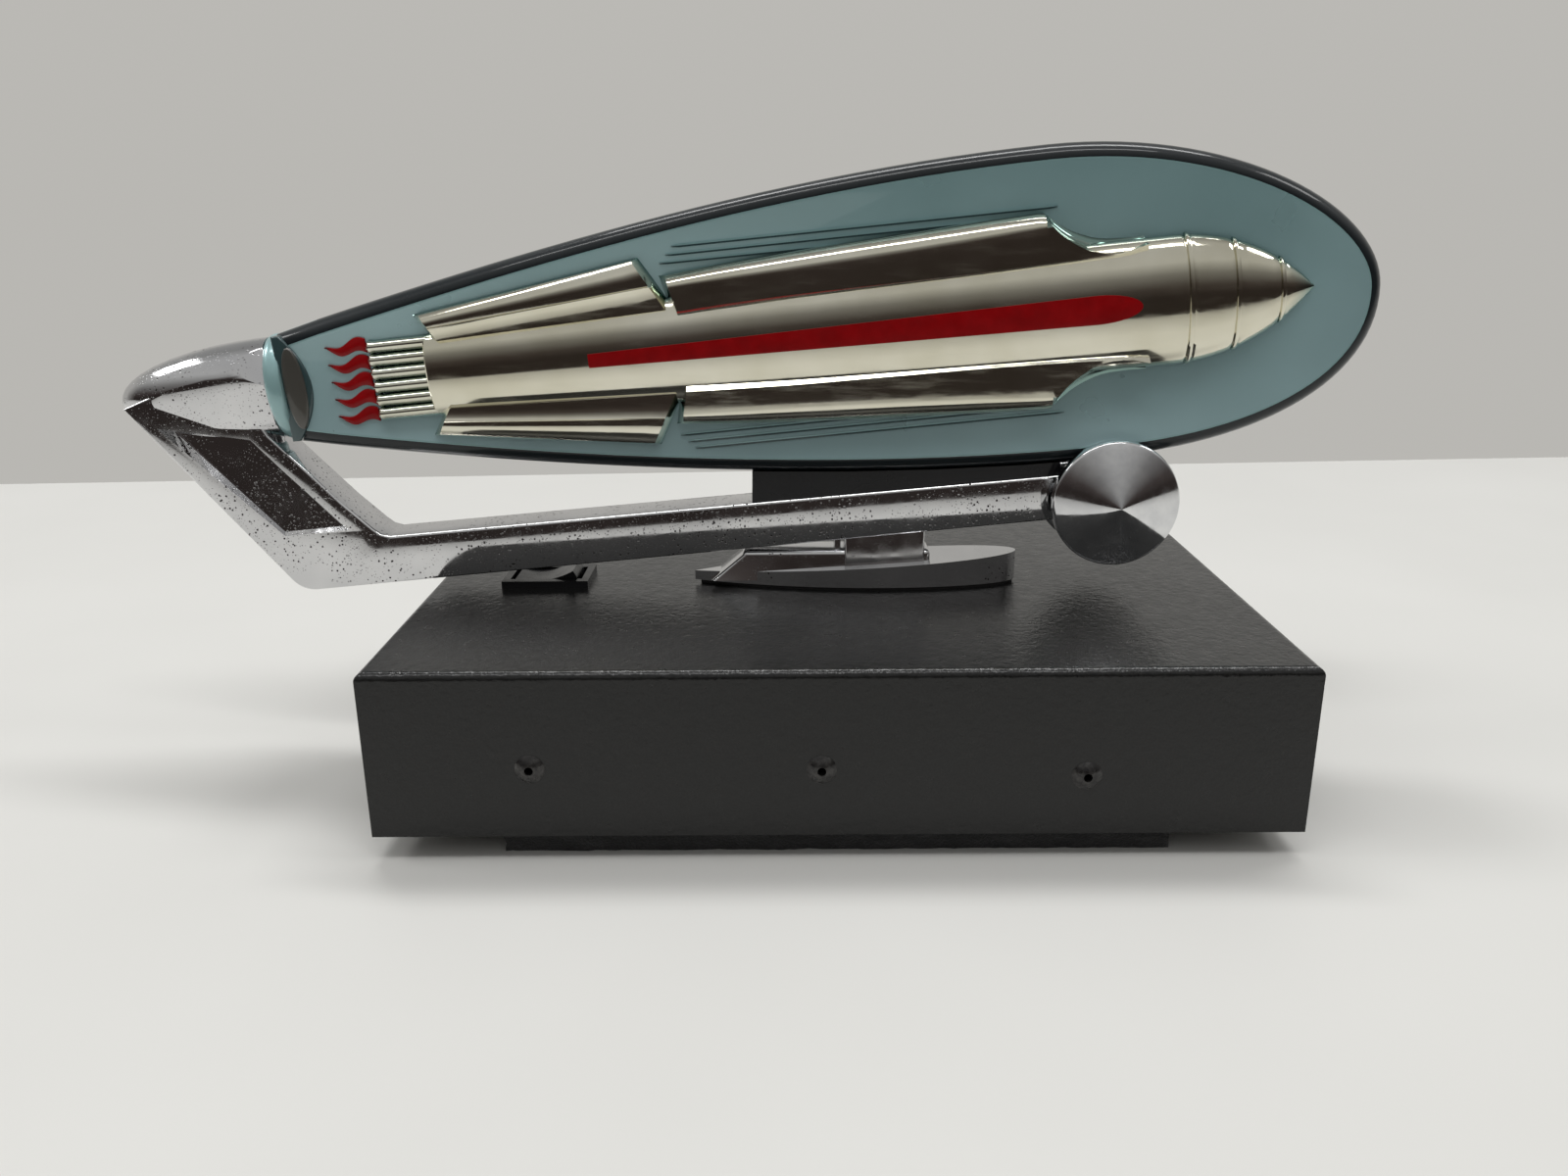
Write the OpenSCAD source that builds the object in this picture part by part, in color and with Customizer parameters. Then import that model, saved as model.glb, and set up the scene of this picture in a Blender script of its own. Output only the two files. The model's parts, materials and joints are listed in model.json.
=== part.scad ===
// Lighted rocket hood ornament on a folded steel display base.
// The origin is the middle of the pad's underside. +X is forward, where the rocket's
// nose points, +Y is the ornament's left side and +Z is up. Sizes are in millimetres.

/* [Display base] */
// Length of the steel box along X
base_length = 203.2; // [180:0.1:245]
// Depth of the steel box along Y
base_depth = 127; // [105:0.1:155]
// Height of the steel box without its pad
base_height = 38.1; // [36:0.1:60]
// Thickness of the folded sheet
sheet = 1.2; // [0.8:0.1:2]
// Outside radius of the folded top edges
bend_radius = 1.8; // [0.5:0.1:4]
// How far the felt pad stays in from the base's ends
pad_end_gap = 26.6; // [5:0.1:50]
// How far the felt pad stays in from the base's front and back
pad_side_gap = 3; // [2:0.1:30]
// Thickness of the felt pad
pad_thickness = 6; // [2:0.5:10]
// How far the bottom plate's flanges turn up inside the box
flange_height = 24; // [20:0.5:26]
// Places of the rivets along the front and back
rivet_places = [-66, -3.4, 53.4];
// How far each of those rivets is below the box's top
rivet_drops = [22, 22.5, 24.3];
// Diameter of a rivet's domed head
rivet_head = 6.5; // [5:0.1:9]
// Diameter of a rivet's body
rivet_body = 3.2; // [2.4:0.1:4.8]

/* [Switch] */
// Place of the switch along X
switch_x = -72.5; // [-80:0.5:-62]
// Place of the switch along Y
switch_y = 3.2; // [0:0.1:12]
// Length of the switch's bezel
bezel_length = 22; // [18:0.1:27]
// Depth of the switch's bezel
bezel_depth = 15; // [12.5:0.1:18]
// How far the bezel stands above the box
bezel_height = 1.8; // [1:0.1:2.2]
// Width of the bezel's border round the rocker button
bezel_border = 2.5; // [2.1:0.1:3.5]
// Lean of the rocker button to either side
rocker_lean = 8; // [4:0.5:9]

/* [Arm casting] */
// Rise of the ornament towards its nose, in degrees
tilt = 5.2; // [3:0.1:7]
// Height of the bar's underside over the box, at the middle of the box
bar_lift = 12.4; // [11.5:0.1:16]
// Width of the bar and the strut
bar_width = 12.6; // [10.5:0.1:15.2]
// Height of the bar at the strut
bar_height = 12; // [10:0.1:14]
// Height of the bar at the discs
bar_front_height = 11; // [9:0.1:13]
// Length of the pointed tail behind the fin's collar
tail_length = 39.4; // [32:0.1:46]
// Depth of the shallow panel in each side of the strut
panel_depth = 1.8; // [0.5:0.1:3]
// Diameter of the wire passage inside the casting
wire_passage = 4.6; // [4:0.1:5.2]

/* [Fin] */
// Height of the rocket's centre line over the bar's underside
axis_height = 50.75; // [50:0.05:62]
// Distance from the middle back to the fin's collar
collar_back = 131; // [126:0.5:150]
// Distance from the middle forward to the fin's front edge
fin_front = 134.6; // [128:0.1:160]
// Half height of the fin above the rocket's centre line
fin_upper = 37.4; // [33:0.1:44]
// Half height of the fin below the rocket's centre line
fin_lower = 36.6; // [33:0.1:37.5]
// Thickness of the whole fin between its flat faces
fin_thickness = 15; // [12.5:0.1:18]
// Width of the rounded rim round the fin
rim_width = 3.2; // [2:0.1:4.5]
// Half height of the oval collar
collar_half_height = 12.4; // [11:0.1:13.5]
// Half width of the oval collar
collar_half_width = 9.6; // [9:0.1:11]
// Thickness of the reflector plate between the fin's halves
reflector = 1; // [0.6:0.1:1.6]

/* [Rocket] */
// Distance from the middle back to the rocket body's flat end
body_back = 91; // [85:0.5:96]
// Distance from the middle forward to the tip of the nose
nose_front = 118; // [110:0.5:122]
// Length of the pointed nose
nose_length = 33; // [28:0.5:40]
// Half height of the body at its flat end
body_back_half = 9.6; // [8:0.1:11]
// Half height of the body at its widest
body_front_half = 14.8; // [12:0.1:17]
// How far the body's crest stands proud of the fin's face
body_relief = 6; // [3:0.1:8]
// How far the small fins' ridges stand proud of the fin's face
fin_relief = 4.6; // [2:0.1:5.6]
// Number of flutes round the exhaust
flutes = 6; // [4:1:8]
// Number of flames
flames = 5; // [3:1:6]

/* [Discs and foot] */
// Radius of a cone faced disc
disc_radius = 15.4; // [12.8:0.1:16.5]
// Depth of a disc's rim
disc_rim = 3.8; // [2.5:0.1:6]
// Height of the cone on a disc
disc_cone = 5; // [2:0.1:8]
// Distance from the middle forward to the discs
disc_front = 70; // [64:0.5:76]
// Height of the discs' centre over the bar's underside
disc_height = 3.9; // [2:0.1:5]
// Length of the foot
foot_length = 82; // [76:0.5:90]
// Width of the foot
foot_width = 17.6; // [16:0.1:22]
// Thickness of the rubber gasket under the foot
gasket = 0.8; // [0.5:0.1:1.5]

/* [Fits] */
// Gap round loose pieces
clearance = 0.2; // [0.1:0.05:0.3]
// Gap round the moving rocker button
running_gap = 0.35; // [0.3:0.05:0.5]

/* [Hidden] */
$fn = 48;
far = 500;
pad_length = base_length - 2 * pad_end_gap;
pad_depth = base_depth - 2 * pad_side_gap;
base_top = pad_thickness + base_height;
ornament_z = base_top + bar_lift;
half_bar = bar_width / 2;
face_y = fin_thickness / 2;
disc_y = face_y + 0.7;
fine = 0.01;

// ---------------------------------------------------------------- outlines

// A point at share t along a curve with four control points
function bezier(p, t) = pow(1 - t, 3) * p[0] + 3 * pow(1 - t, 2) * t * p[1]
    + 3 * (1 - t) * t * t * p[2] + t * t * t * p[3];

// Points along such a curve, without its last one
function curve(p, n) = [for (i = [0 : n - 1]) bezier(p, i / n)];

// Points on an arc, in degrees
function arc(c, r, a, b, n) = [for (i = [0 : n]) let (q = a + (b - a) * i / n)
    [c[0] + r * cos(q), c[1] + r * sin(q)]];

// The fin's teardrop outline round the rocket's centre line: upper rear, upper front,
// lower front and lower rear stretches, each one curve.
fin_top_u = 58;
fin_bottom_u = 70;
nose_drop = -1.6;
rear_run = fin_top_u + collar_back;
front_run = fin_front - fin_top_u;
low_run = fin_front - fin_bottom_u;
low_rear_run = fin_bottom_u + collar_back;
rear_rise = fin_upper - collar_half_height;
rear_fall = fin_lower - collar_half_height;
fin_points = concat(
    curve([[-collar_back, collar_half_height],
        [-collar_back + 0.32 * rear_run, collar_half_height + 0.52 * rear_rise],
        [fin_top_u - 0.34 * rear_run, fin_upper], [fin_top_u, fin_upper]], 12),
    curve([[fin_top_u, fin_upper], [fin_top_u + 0.56 * front_run, fin_upper],
        [fin_front, 0.44 * fin_upper], [fin_front, nose_drop]], 14),
    curve([[fin_front, nose_drop], [fin_front, -0.64 * fin_lower],
        [fin_front - 0.4 * low_run, -fin_lower], [fin_bottom_u, -fin_lower]], 12),
    curve([[fin_bottom_u, -fin_lower], [fin_bottom_u - 0.35 * low_rear_run, -fin_lower],
        [-collar_back + 0.3 * low_rear_run, -collar_half_height - 0.52 * rear_fall],
        [-collar_back, -collar_half_height]], 10),
    [[-collar_back, -collar_half_height]]);

// Half height of the rocket's body at u, first along the body and then round the nose
nose_start = nose_front - nose_length;
ogive = (pow(body_front_half, 2) + pow(nose_length, 2)) / (2 * body_front_half);
function nose_half(u) = sqrt(max(0, pow(ogive, 2) - pow(u - nose_start, 2)))
    + body_front_half - ogive;
body_points = concat(
    [for (i = [0 : 8]) let (t = i / 8) [-body_back + (nose_start + body_back) * t,
        body_back_half + (body_front_half - body_back_half) * sin(90 * t)]],
    [for (i = [1 : 11]) let (u = nose_start + nose_length * i / 12) [u, nose_half(u)]],
    [[nose_front, 0.2]]);
ring_places = [nose_start + 3, nose_start + 14, nose_start + 25];

// The small fins, above the centre line: corners, then the scooped front end
rear_fin = [[-93, 14.2], [-38.6, 21.8], [-31.2, 9], [-88.8, 7.6]];
front_fin = concat([[-31.2, 9.4], [-34, 17], [55.6, 22.8]],
    arc([71.5, 29.2], 17.2, 202, 267, 7), [[78.6, 12.6], [60, 10]]);

// One wavy flame that points back from u = 0, about its own centre line
flame = [[0, 1.35], [-3.2, 1.1], [-6, -0.3], [-10.6, 0.6], [-7.2, -1.5], [-3.6, -1.2],
    [0, -1.5]];

// The red stripe on the body
stripe_points = concat([[-52.5, -1.6], [-52.5, 1.6], [66, 3.3]],
    arc([66, -2.7], 6, 90, 55, 3), [[76.5, 0]], arc([66, 2.7], 6, -55, -90, 3));

// Tapered outline of the foot: a pointed tail and an oval front
foot_back = -34.4;
foot_wide_u = 13.5;
foot_front = foot_back + foot_length;
function foot_outline(half, back, front) = concat(
    [for (i = [0 : 12]) let (t = i / 12) [back + (foot_wide_u - back) * t,
        half * (1 - pow(1 - t, 2))]],
    [for (i = [1 : 23]) let (q = 90 - 180 * i / 24) [foot_wide_u
        + (front - foot_wide_u) * cos(q), half * sin(q)]],
    [for (i = [0 : 11]) let (t = 1 - i / 12) [back + (foot_wide_u - back) * t,
        -half * (1 - pow(1 - t, 2))]]);

// ---------------------------------------------------------------- helpers

// Puts a shape drawn in the ornament's own frame at its tilt over the base
module tilted() {
    translate([0, 0, ornament_z]) rotate([0, -tilt, 0]) children();
}

// The same, with the rocket's centre line at height 0
module on_axis() {
    tilted() translate([0, 0, axis_height]) children();
}

// Stands an outline up and gives it a thickness along Y, from y0 to y1
module standing(y0, y1) {
    translate([0, y1, 0]) rotate([90, 0, 0]) linear_extrude(y1 - y0) children();
}

// The half of the space on one side of Y = 0
module side_space(side, from = 0) {
    translate([-far / 2, side > 0 ? from : -far - from, -far / 2]) cube(far);
}

module along_x(r, from, to) {
    translate([from, 0, 0]) rotate([0, 90, 0]) cylinder(r = r, h = to - from);
}

module mirrored(side) {
    mirror([0, side > 0 ? 1 : 0, 0]) children();
}

// ---------------------------------------------------------------- display base

inner_length = base_length - 2 * sheet;
inner_depth = base_depth - 2 * sheet;

module folded_profile(width) {
    translate([-width / 2, pad_thickness]) square([width, base_height - bend_radius]);
    translate([-width / 2 + bend_radius, pad_thickness])
        square([width - 2 * bend_radius, base_height]);
    for (s = [-1, 1])
        translate([s * (width / 2 - bend_radius), base_top - bend_radius]) circle(bend_radius);
}

module top_holes() {
    translate([0, 0, base_top - 5]) {
        for (x = stud_places) translate([x, 0, 0]) cylinder(r = stud_hole, h = 10);
        translate([wire_x, 0, 0]) cylinder(r = grommet_hole, h = 10);
    }
    translate([switch_x, switch_y, base_top])
        cube([bezel_length - 2 * bezel_lap, bezel_depth - 2 * bezel_lap, 10], center = true);
}

module rivet_holes(r) {
    for (i = [0 : len(rivet_places) - 1])
        translate([rivet_places[i], 0, base_top - rivet_drops[i]])
            rotate([90, 0, 0]) cylinder(r = r, h = far, center = true);
}

module box_shell() {
    color([0.1, 0.1, 0.1]) difference() {
        intersection() {
            rotate([90, 0, 0]) linear_extrude(base_depth, center = true)
                folded_profile(base_length);
            rotate([90, 0, 90]) linear_extrude(base_length, center = true)
                folded_profile(base_depth);
        }
        translate([-inner_length / 2, -inner_depth / 2, 0])
            cube([inner_length, inner_depth, base_top - sheet]);
        top_holes();
        rivet_holes(rivet_body / 2 + 0.05);
    }
}

plate_z = pad_thickness + 0.6;
module bottom_plate() {
    gap = clearance / 2;
    length = inner_length - 2 * gap;
    depth = inner_depth - 2 * gap;
    color([0.16, 0.16, 0.17]) difference() {
        translate([-length / 2, -depth / 2, plate_z]) cube([length, depth, flange_height]);
        translate([-far / 2, -depth / 2 + sheet, plate_z + sheet])
            cube([far, depth - 2 * sheet, far]);
        rivet_holes(rivet_body / 2 + 0.05);
        for (x = tray_screw_places)
            translate([tray_x + x, tray_y, plate_z - 1]) cylinder(r = 1.35, h = 4);
    }
}

module felt_pad() {
    color([0.03, 0.03, 0.03]) translate([-pad_length / 2, -pad_depth / 2, 0])
        cube([pad_length, pad_depth, pad_thickness + 0.6]);
}

module rivet() {
    wall = 2 * sheet + clearance / 2;
    difference() {
        union() {
            cylinder(r = rivet_body / 2, h = wall + 1.5);
            intersection() {
                translate([0, 0, 3.6]) sphere(r = 4.9);
                translate([-5, -5, -1.3]) cube([10, 10, 1.3]);
                cylinder(r = rivet_head / 2, h = 10, center = true);
            }
            translate([0, 0, wall + 0.02]) cylinder(r = rivet_body / 2 + 0.6, h = 2);
        }
        translate([0, 0, -2]) cylinder(r = 0.95, h = far);
    }
}

module pop_rivets() {
    color([0.12, 0.12, 0.12]) for (side = [-1, 1], i = [0 : len(rivet_places) - 1])
        translate([rivet_places[i], side * base_depth / 2, base_top - rivet_drops[i]])
            rotate([side * 90, 0, 0]) rivet();
}

// ---------------------------------------------------------------- switch

pivot_z = base_top - 1.2;
well_depth = 9;
bezel_lap = 0.8;
rocker_length = bezel_length - 2 * bezel_border;
rocker_depth = bezel_depth - 2 * bezel_border;
body_inset = 2 * (bezel_lap + clearance);

module switch_housing() {
    color([0.05, 0.05, 0.05]) translate([switch_x, switch_y, base_top]) difference() {
        union() {
            translate([-bezel_length / 2, -bezel_depth / 2, 0])
                cube([bezel_length, bezel_depth, bezel_height]);
            translate([0, 0, -8]) cube([bezel_length - body_inset,
                bezel_depth - body_inset, 16.02], center = true);
        }
        translate([-bezel_length, -bezel_depth, bezel_height])
            cube([2 * bezel_length, 2 * bezel_depth, 20]);
        translate([-rocker_length / 2 - running_gap - 0.3, -rocker_depth / 2 - running_gap,
            -well_depth]) cube([rocker_length + 2 * running_gap + 0.6,
            rocker_depth + 2 * running_gap, 20]);
        translate([0, 0, pivot_z - base_top]) rotate([90, 0, 0])
            cylinder(r = 1.25, h = rocker_depth + 1.7, center = true);
        for (x = [-5, 5]) translate([x, 0, -14]) cube([4.9, 1, 8], center = true);
        translate([0, 0, -well_depth - 1.5]) cylinder(r = 1.6, h = 4);
    }
}

module switch_rocker() {
    color([0.04, 0.04, 0.04]) translate([switch_x, switch_y, pivot_z])
        rotate([0, -rocker_lean, 0]) {
            difference() {
                intersection() {
                    translate([-rocker_length / 2, -rocker_depth / 2, -3.4])
                        cube([rocker_length, rocker_depth, 8]);
                    rotate([90, 0, 0]) cylinder(r = rocker_length / 2, h = 40, center = true);
                }
                translate([0, 0, 24.6]) rotate([90, 0, 0])
                    cylinder(r = 22, h = 40, center = true, $fn = 96);
                translate([0, 0, -3.5]) cylinder(r = 1.75, h = 2.2);
            }
            rotate([90, 0, 0]) cylinder(r = 1.2, h = rocker_depth + 1.4, center = true);
        }
}

module switch_plunger() {
    color([0.8, 0.8, 0.8]) translate([switch_x, switch_y, base_top - well_depth - 1.4]) {
        cylinder(r = 1.5, h = 3.4);
    }
}

module switch_terminals() {
    color("gold") translate([switch_x, switch_y, base_top - 16])
        for (x = [-5, 5]) translate([x - 2.4, -0.4, -4.6]) cube([4.8, 0.8, 9.6]);
}

// ---------------------------------------------------------------- battery

tray_x = 20;
tray_y = 24;
cell_r = 7.2;
cell_length = 50.5;
tray_screw_places = [-20, 20];

module battery_tray() {
    color([0.07, 0.07, 0.07]) translate([tray_x, tray_y, plate_z + sheet]) difference() {
        translate([-cell_length / 2 - 5, -2 * cell_r - 2, 0])
            cube([cell_length + 10, 4 * cell_r + 4, 13]);
        for (s = [-1, 1]) translate([0, s * (cell_r + 0.2), 2 + cell_r])
            along_x(cell_r + 0.15, -cell_length / 2 - 2.2, cell_length / 2 + 2.2);
        translate([-cell_length / 2 - 2.2, -2 * cell_r + 1, 2 + cell_r])
            cube([cell_length + 4.4, 4 * cell_r - 2, 20]);
        for (x = tray_screw_places) translate([x, 0, -1]) cylinder(r = 1.6, h = 20);
        for (x = tray_screw_places) translate([x, 0, 2]) cylinder(r = 3, h = 20);
    }
}

module battery_cells() {
    color([0.25, 0.3, 0.35]) translate([tray_x, tray_y, plate_z + sheet + 2 + cell_r])
        for (s = [-1, 1]) translate([0, s * (cell_r + 0.2), 0]) {
            along_x(cell_r, -cell_length / 2, cell_length / 2 - 1.2);
            along_x(2.6, 0, cell_length / 2);
        }
}

module battery_contacts() {
    color([0.75, 0.75, 0.75]) translate([tray_x, tray_y, plate_z + sheet + 2 + cell_r])
        for (e = [-1, 1], s = [-1, 1])
            translate([e * (cell_length / 2 + 1.1), s * (cell_r + 0.2), 0])
                along_x(e > 0 ? 4 : 3, -1.05, 1.05);
}

module tray_screws() {
    color([0.6, 0.6, 0.6]) for (x = tray_screw_places)
        translate([tray_x + x, tray_y, plate_z + sheet]) difference() {
            union() {
                translate([0, 0, 0.02 - sheet]) cylinder(r = 1.3, h = 2.4 + sheet);
                translate([0, 0, 2.02]) cylinder(r = 2.6, h = 1.8);
            }
            translate([-3, -0.3, 3.1]) cube([6, 0.6, 2]);
        }
}

// ---------------------------------------------------------------- foot

stud_places = [-8, 37];
stud_r = 2;
stud_hole = 2.3;
arm_screw_places = [7.6, 20.4];
arm_screw_reach = bar_lift + 0.2;
wire_x = 14;
grommet_hole = 4;
plinth_rear = 3;
plinth_front = 8;
pedestal_height = 9.4;
foot_half = foot_width / 2;

module under_bar() {
    tilted() translate([-far / 2, -far / 2, 0]) cube(far);
}

module sloped_top(back, front) {
    rise = atan((front - back) / foot_length);
    translate([foot_back, 0, base_top + gasket + back]) rotate([0, -rise, 0])
        translate([-far / 2, -far / 2, 0]) cube(far);
}

module foot_casting() {
    color([0.75, 0.75, 0.76]) difference() {
        union() {
            difference() {
                translate([0, 0, base_top + gasket]) linear_extrude(14)
                    polygon(foot_outline(foot_half, foot_back, foot_front));
                sloped_top(plinth_rear, plinth_front);
            }
            hull() {
                intersection() {
                    translate([0, 0, base_top + gasket]) linear_extrude(14)
                        polygon(foot_outline(foot_half - 0.8, foot_back + 1, foot_front - 18));
                    sloped_top(plinth_rear - 0.3, plinth_front - 0.3);
                    translate([-far / 2, -far / 2, 0]) cube([far, far, base_top + gasket
                        + plinth_front - 2]);
                }
                translate([-21, -3.6, base_top + gasket + 2]) cube([45, 7.2, pedestal_height - 2]);
            }
            translate([3.8, -4.6, base_top + gasket]) cube([20, 9.2, 20]);
            standing(-3, 3) polygon(concat([[foot_back + 2, base_top + 3]],
                arc([-36, base_top + 16], 12.4, -75, -28, 6),
                [[-20, base_top + 16], [-20, base_top + 3]]));
            translate([-1.5, -3.6, base_top + gasket]) cube([3, 7.2, 20]);
        }
        under_bar();
        for (x = arm_screw_places) translate([x, 0, base_top]) {
            cylinder(r = 2.2, h = 30);
            cylinder(r = 3.9, h = gasket + 4.4);
        }
        for (x = stud_places) translate([x, 0, base_top]) cylinder(r = stud_r, h = 6);
        translate([wire_x, 0, base_top]) cylinder(r = wire_passage / 2, h = 30);
        translate([37, 0, base_top + gasket + plinth_front + 8.2]) scale([1.2, 0.62, 1])
            sphere(r = 9.5);
    }
}

module foot_gasket() {
    color([0.06, 0.06, 0.06]) difference() {
        translate([0, 0, base_top]) linear_extrude(gasket)
            polygon(foot_outline(foot_half - 0.5, foot_back + 1.5, foot_front - 0.5));
        for (x = concat(stud_places, arm_screw_places)) translate([x, 0, base_top - 1])
            cylinder(r = stud_hole, h = 4);
        translate([wire_x, 0, base_top - 1]) cylinder(r = grommet_hole, h = 4);
        for (x = arm_screw_places) translate([x, 0, base_top - 1]) cylinder(r = 3.9, h = 4);
    }
}

module foot_studs() {
    color([0.7, 0.7, 0.65]) for (x = stud_places)
        translate([x, 0, base_top - 12]) cylinder(r = stud_r, h = 12 + 5.8);
}

module foot_washers() {
    color([0.7, 0.7, 0.7]) for (x = stud_places)
        translate([x, 0, base_top - sheet - 1]) difference() {
            cylinder(r = 4.5, h = 1);
            translate([0, 0, -1]) cylinder(r = stud_hole - 0.1, h = 3);
        }
}

module foot_nuts() {
    color([0.7, 0.7, 0.65]) for (x = stud_places)
        translate([x, 0, base_top - sheet - 1 - 3.2]) difference() {
            cylinder(r = 4.04, h = 3.2, $fn = 6);
            translate([0, 0, -1]) cylinder(r = stud_r, h = 6);
        }
}

module arm_screws() {
    color([0.6, 0.6, 0.6]) for (x = arm_screw_places)
        translate([x, 0, base_top + gasket + 4.4]) difference() {
            union() {
                translate([0, 0, -3.4]) cylinder(r = 3.6, h = 3.4);
                cylinder(r = 2, h = arm_screw_reach);
            }
            translate([0, 0, -4]) cylinder(r = 1.6, h = 2.4, $fn = 6);
        }
}

module wire_grommet() {
    color([0.05, 0.05, 0.05]) translate([wire_x, 0, base_top]) difference() {
        union() {
            translate([0, 0, -sheet - 1.5]) cylinder(r = grommet_hole + 1.5, h = 1.5);
            translate([0, 0, -sheet - 1]) cylinder(r = grommet_hole - 0.05, h = sheet + 1 + gasket);
        }
        translate([0, 0, -10]) cylinder(r = wire_passage / 2, h = 20);
    }
}

// ---------------------------------------------------------------- arm casting

collar_u = -collar_back;
tip_u = collar_u - tail_length;
strut_toe = -134.2;
strut_toe_shift = collar_u + 131;
corner_r = 7;

// Side view of strut and bar, in the tilted frame
strut_low_u = strut_toe + strut_toe_shift;
outer_slope = atan2(axis_height - 3, (tip_u + 4.6) - strut_low_u);
arm_points = concat(
    [[tip_u + 2.6, axis_height], [collar_u - 3, axis_height - collar_half_height + 1.6],
        [collar_u + 20.6, bar_height]],
    [[disc_front, bar_front_height], [disc_front, 0]],
    arc([strut_low_u + corner_r * tan((180 - outer_slope) / 2) , corner_r], corner_r,
        270, 90 + outer_slope, 8));

// The wire's route: down behind the lamp, down the strut, along the bar and down
passage_low = 7.4;
passage_start = [collar_u - 17.6, axis_height];
passage_top = [collar_u - 17.6, axis_height - 7.5];
passage_corner = [strut_low_u + 14.5, passage_low];

module passage(r) {
    tilted() {
        round_run(passage_start, passage_top, r);
        round_run(passage_top, passage_corner, r);
        round_run(passage_corner, [wire_x, passage_low], r);
    }
}

// A round run between two points of the side view, a little longer than their distance
module round_run(a, b, r) {
    angle = atan2(b[1] - a[1], b[0] - a[0]);
    translate([a[0], 0, a[1]]) rotate([0, 90 - angle, 0]) translate([0, 0, -0.6 * r])
        cylinder(r = r, h = norm(b - a) + 1.2 * r);
}

panel_points = [[tip_u + 10.6, axis_height - 7.4], [collar_u - 9.4, axis_height - 12.4],
    [collar_u + 10.6, bar_height + 2.6], [collar_u - 4.2, bar_height + 2.6]];

// The pointed tail: an ogive of oval profile with a flat down each side
module bullet() {
    reach = collar_half_height - 0.2;
    intersection() {
        translate([collar_u, 0, axis_height]) rotate([0, -90, 0]) rotate_extrude($fn = 96)
            polygon(concat([[0, 0]], [for (i = [0 : 15]) let (q = 6 * i)
                [reach * cos(q), tail_length * sin(q)]]));
        standing(-collar_half_width + 0.2, collar_half_width - 0.2)
            translate([tip_u - 5, 0]) square([tail_length + 5, far]);
    }
}

module arm_casting() {
    color([0.78, 0.78, 0.79]) difference() {
        union() {
            tilted() {
                bullet();
                difference() {
                    standing(-half_bar, half_bar) polygon(arm_points);
                    for (side = [-1, 1]) standing(side > 0 ? half_bar - panel_depth : -20,
                        side > 0 ? 20 : -half_bar + panel_depth) polygon(panel_points);
                }
                translate([disc_front, 0, disc_height]) rotate([90, 0, 0])
                    cylinder(r = 8.6, h = 2 * disc_y - 0.4, center = true);
            }
        }
        tilted() {
            translate([0, 0, axis_height]) along_x(holder_r + 0.05, collar_u - 19, collar_u + 30);
            translate([disc_front, 0, disc_height]) rotate([90, 0, 0])
                cylinder(r = axle_r, h = far, center = true);
            for (u = saddle_screw_places) translate([u, 0, -1]) {
                cylinder(r = 1.8, h = 30);
                cylinder(r = 3.3, h = 4.2);
            }
        }
        passage(wire_passage / 2);
        translate([wire_x, 0, base_top]) cylinder(r = wire_passage / 2 - 0.1, h = bar_lift + 9);
        for (x = arm_screw_places) translate([x, 0, base_top + gasket + 4])
            cylinder(r = 2, h = arm_screw_reach + 0.6);
    }
}

// ---------------------------------------------------------------- discs

axle_r = 2.5;

module disc() {
    rotate_extrude($fn = 96) difference() {
        polygon([[0, 0], [disc_radius - 0.5, 0], [disc_radius, 0.5],
            [disc_radius, disc_rim - 0.5], [disc_radius - 0.5, disc_rim], [0, disc_rim + disc_cone]]);
        translate([-1, -1]) square([1 + axle_r, 1 + disc_rim]);
    }
}

module place_disc(side) {
    tilted() translate([disc_front, side * disc_y, disc_height]) rotate([side * -90, 0, 0]) disc();
}

module disc_left() {
    color([0.8, 0.8, 0.8]) place_disc(1);
}

module disc_right() {
    color([0.8, 0.8, 0.8]) place_disc(-1);
}

module disc_axle() {
    color([0.65, 0.65, 0.65]) tilted() translate([disc_front, 0, disc_height])
        rotate([90, 0, 0]) cylinder(r = axle_r, h = 2 * (disc_y + disc_rim - 0.2), center = true);
}

// ---------------------------------------------------------------- saddle

saddle_back = -18.4;
saddle_top_back = -17.2;
saddle_front = disc_front - 12;
saddle_screw_places = [29, 52];
saddle_half = 5.6;

module saddle() {
    color([0.02, 0.02, 0.03]) difference() {
        tilted() standing(-saddle_half, saddle_half) polygon([
            [saddle_back, bar_height - 1.4], [saddle_top_back, axis_height - fin_lower + 7],
            [saddle_front, axis_height - fin_lower + 7], [saddle_front, bar_height - 1.4]]);
        tilted() standing(-20, 20) polygon([[collar_u + 20.6, bar_height], [disc_front,
            bar_front_height], [disc_front, -50], [collar_u + 20.6, -50]]);
        on_axis() standing(-20, 20) offset(delta = 0.05) polygon(fin_points);
        tilted() translate([disc_front, 0, disc_height]) rotate([90, 0, 0])
            cylinder(r = 8.6 + clearance, h = 60, center = true);
        for (u = saddle_screw_places) tilted() translate([u, 0, 0]) cylinder(r = 1.8, h = 60);
    }
}

module saddle_screws() {
    color([0.6, 0.6, 0.6]) tilted() for (u = saddle_screw_places) translate([u, 0, 0])
        difference() {
            union() {
                cylinder(r = 1.5, h = 25);
                translate([0, 0, 0.6]) cylinder(r = 3, h = 2.6);
            }
            translate([0, 0, -1]) cylinder(r = 1.2, h = 2.8, $fn = 6);
        }
}

// ---------------------------------------------------------------- fin

lamp_recess = 7.2;

// A thin slice of the fin's outline, drawn in by inset, standing at y
module fin_slice(y, inset) {
    standing(y, y + fine) offset(delta = -inset) polygon(fin_points);
}

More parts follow.
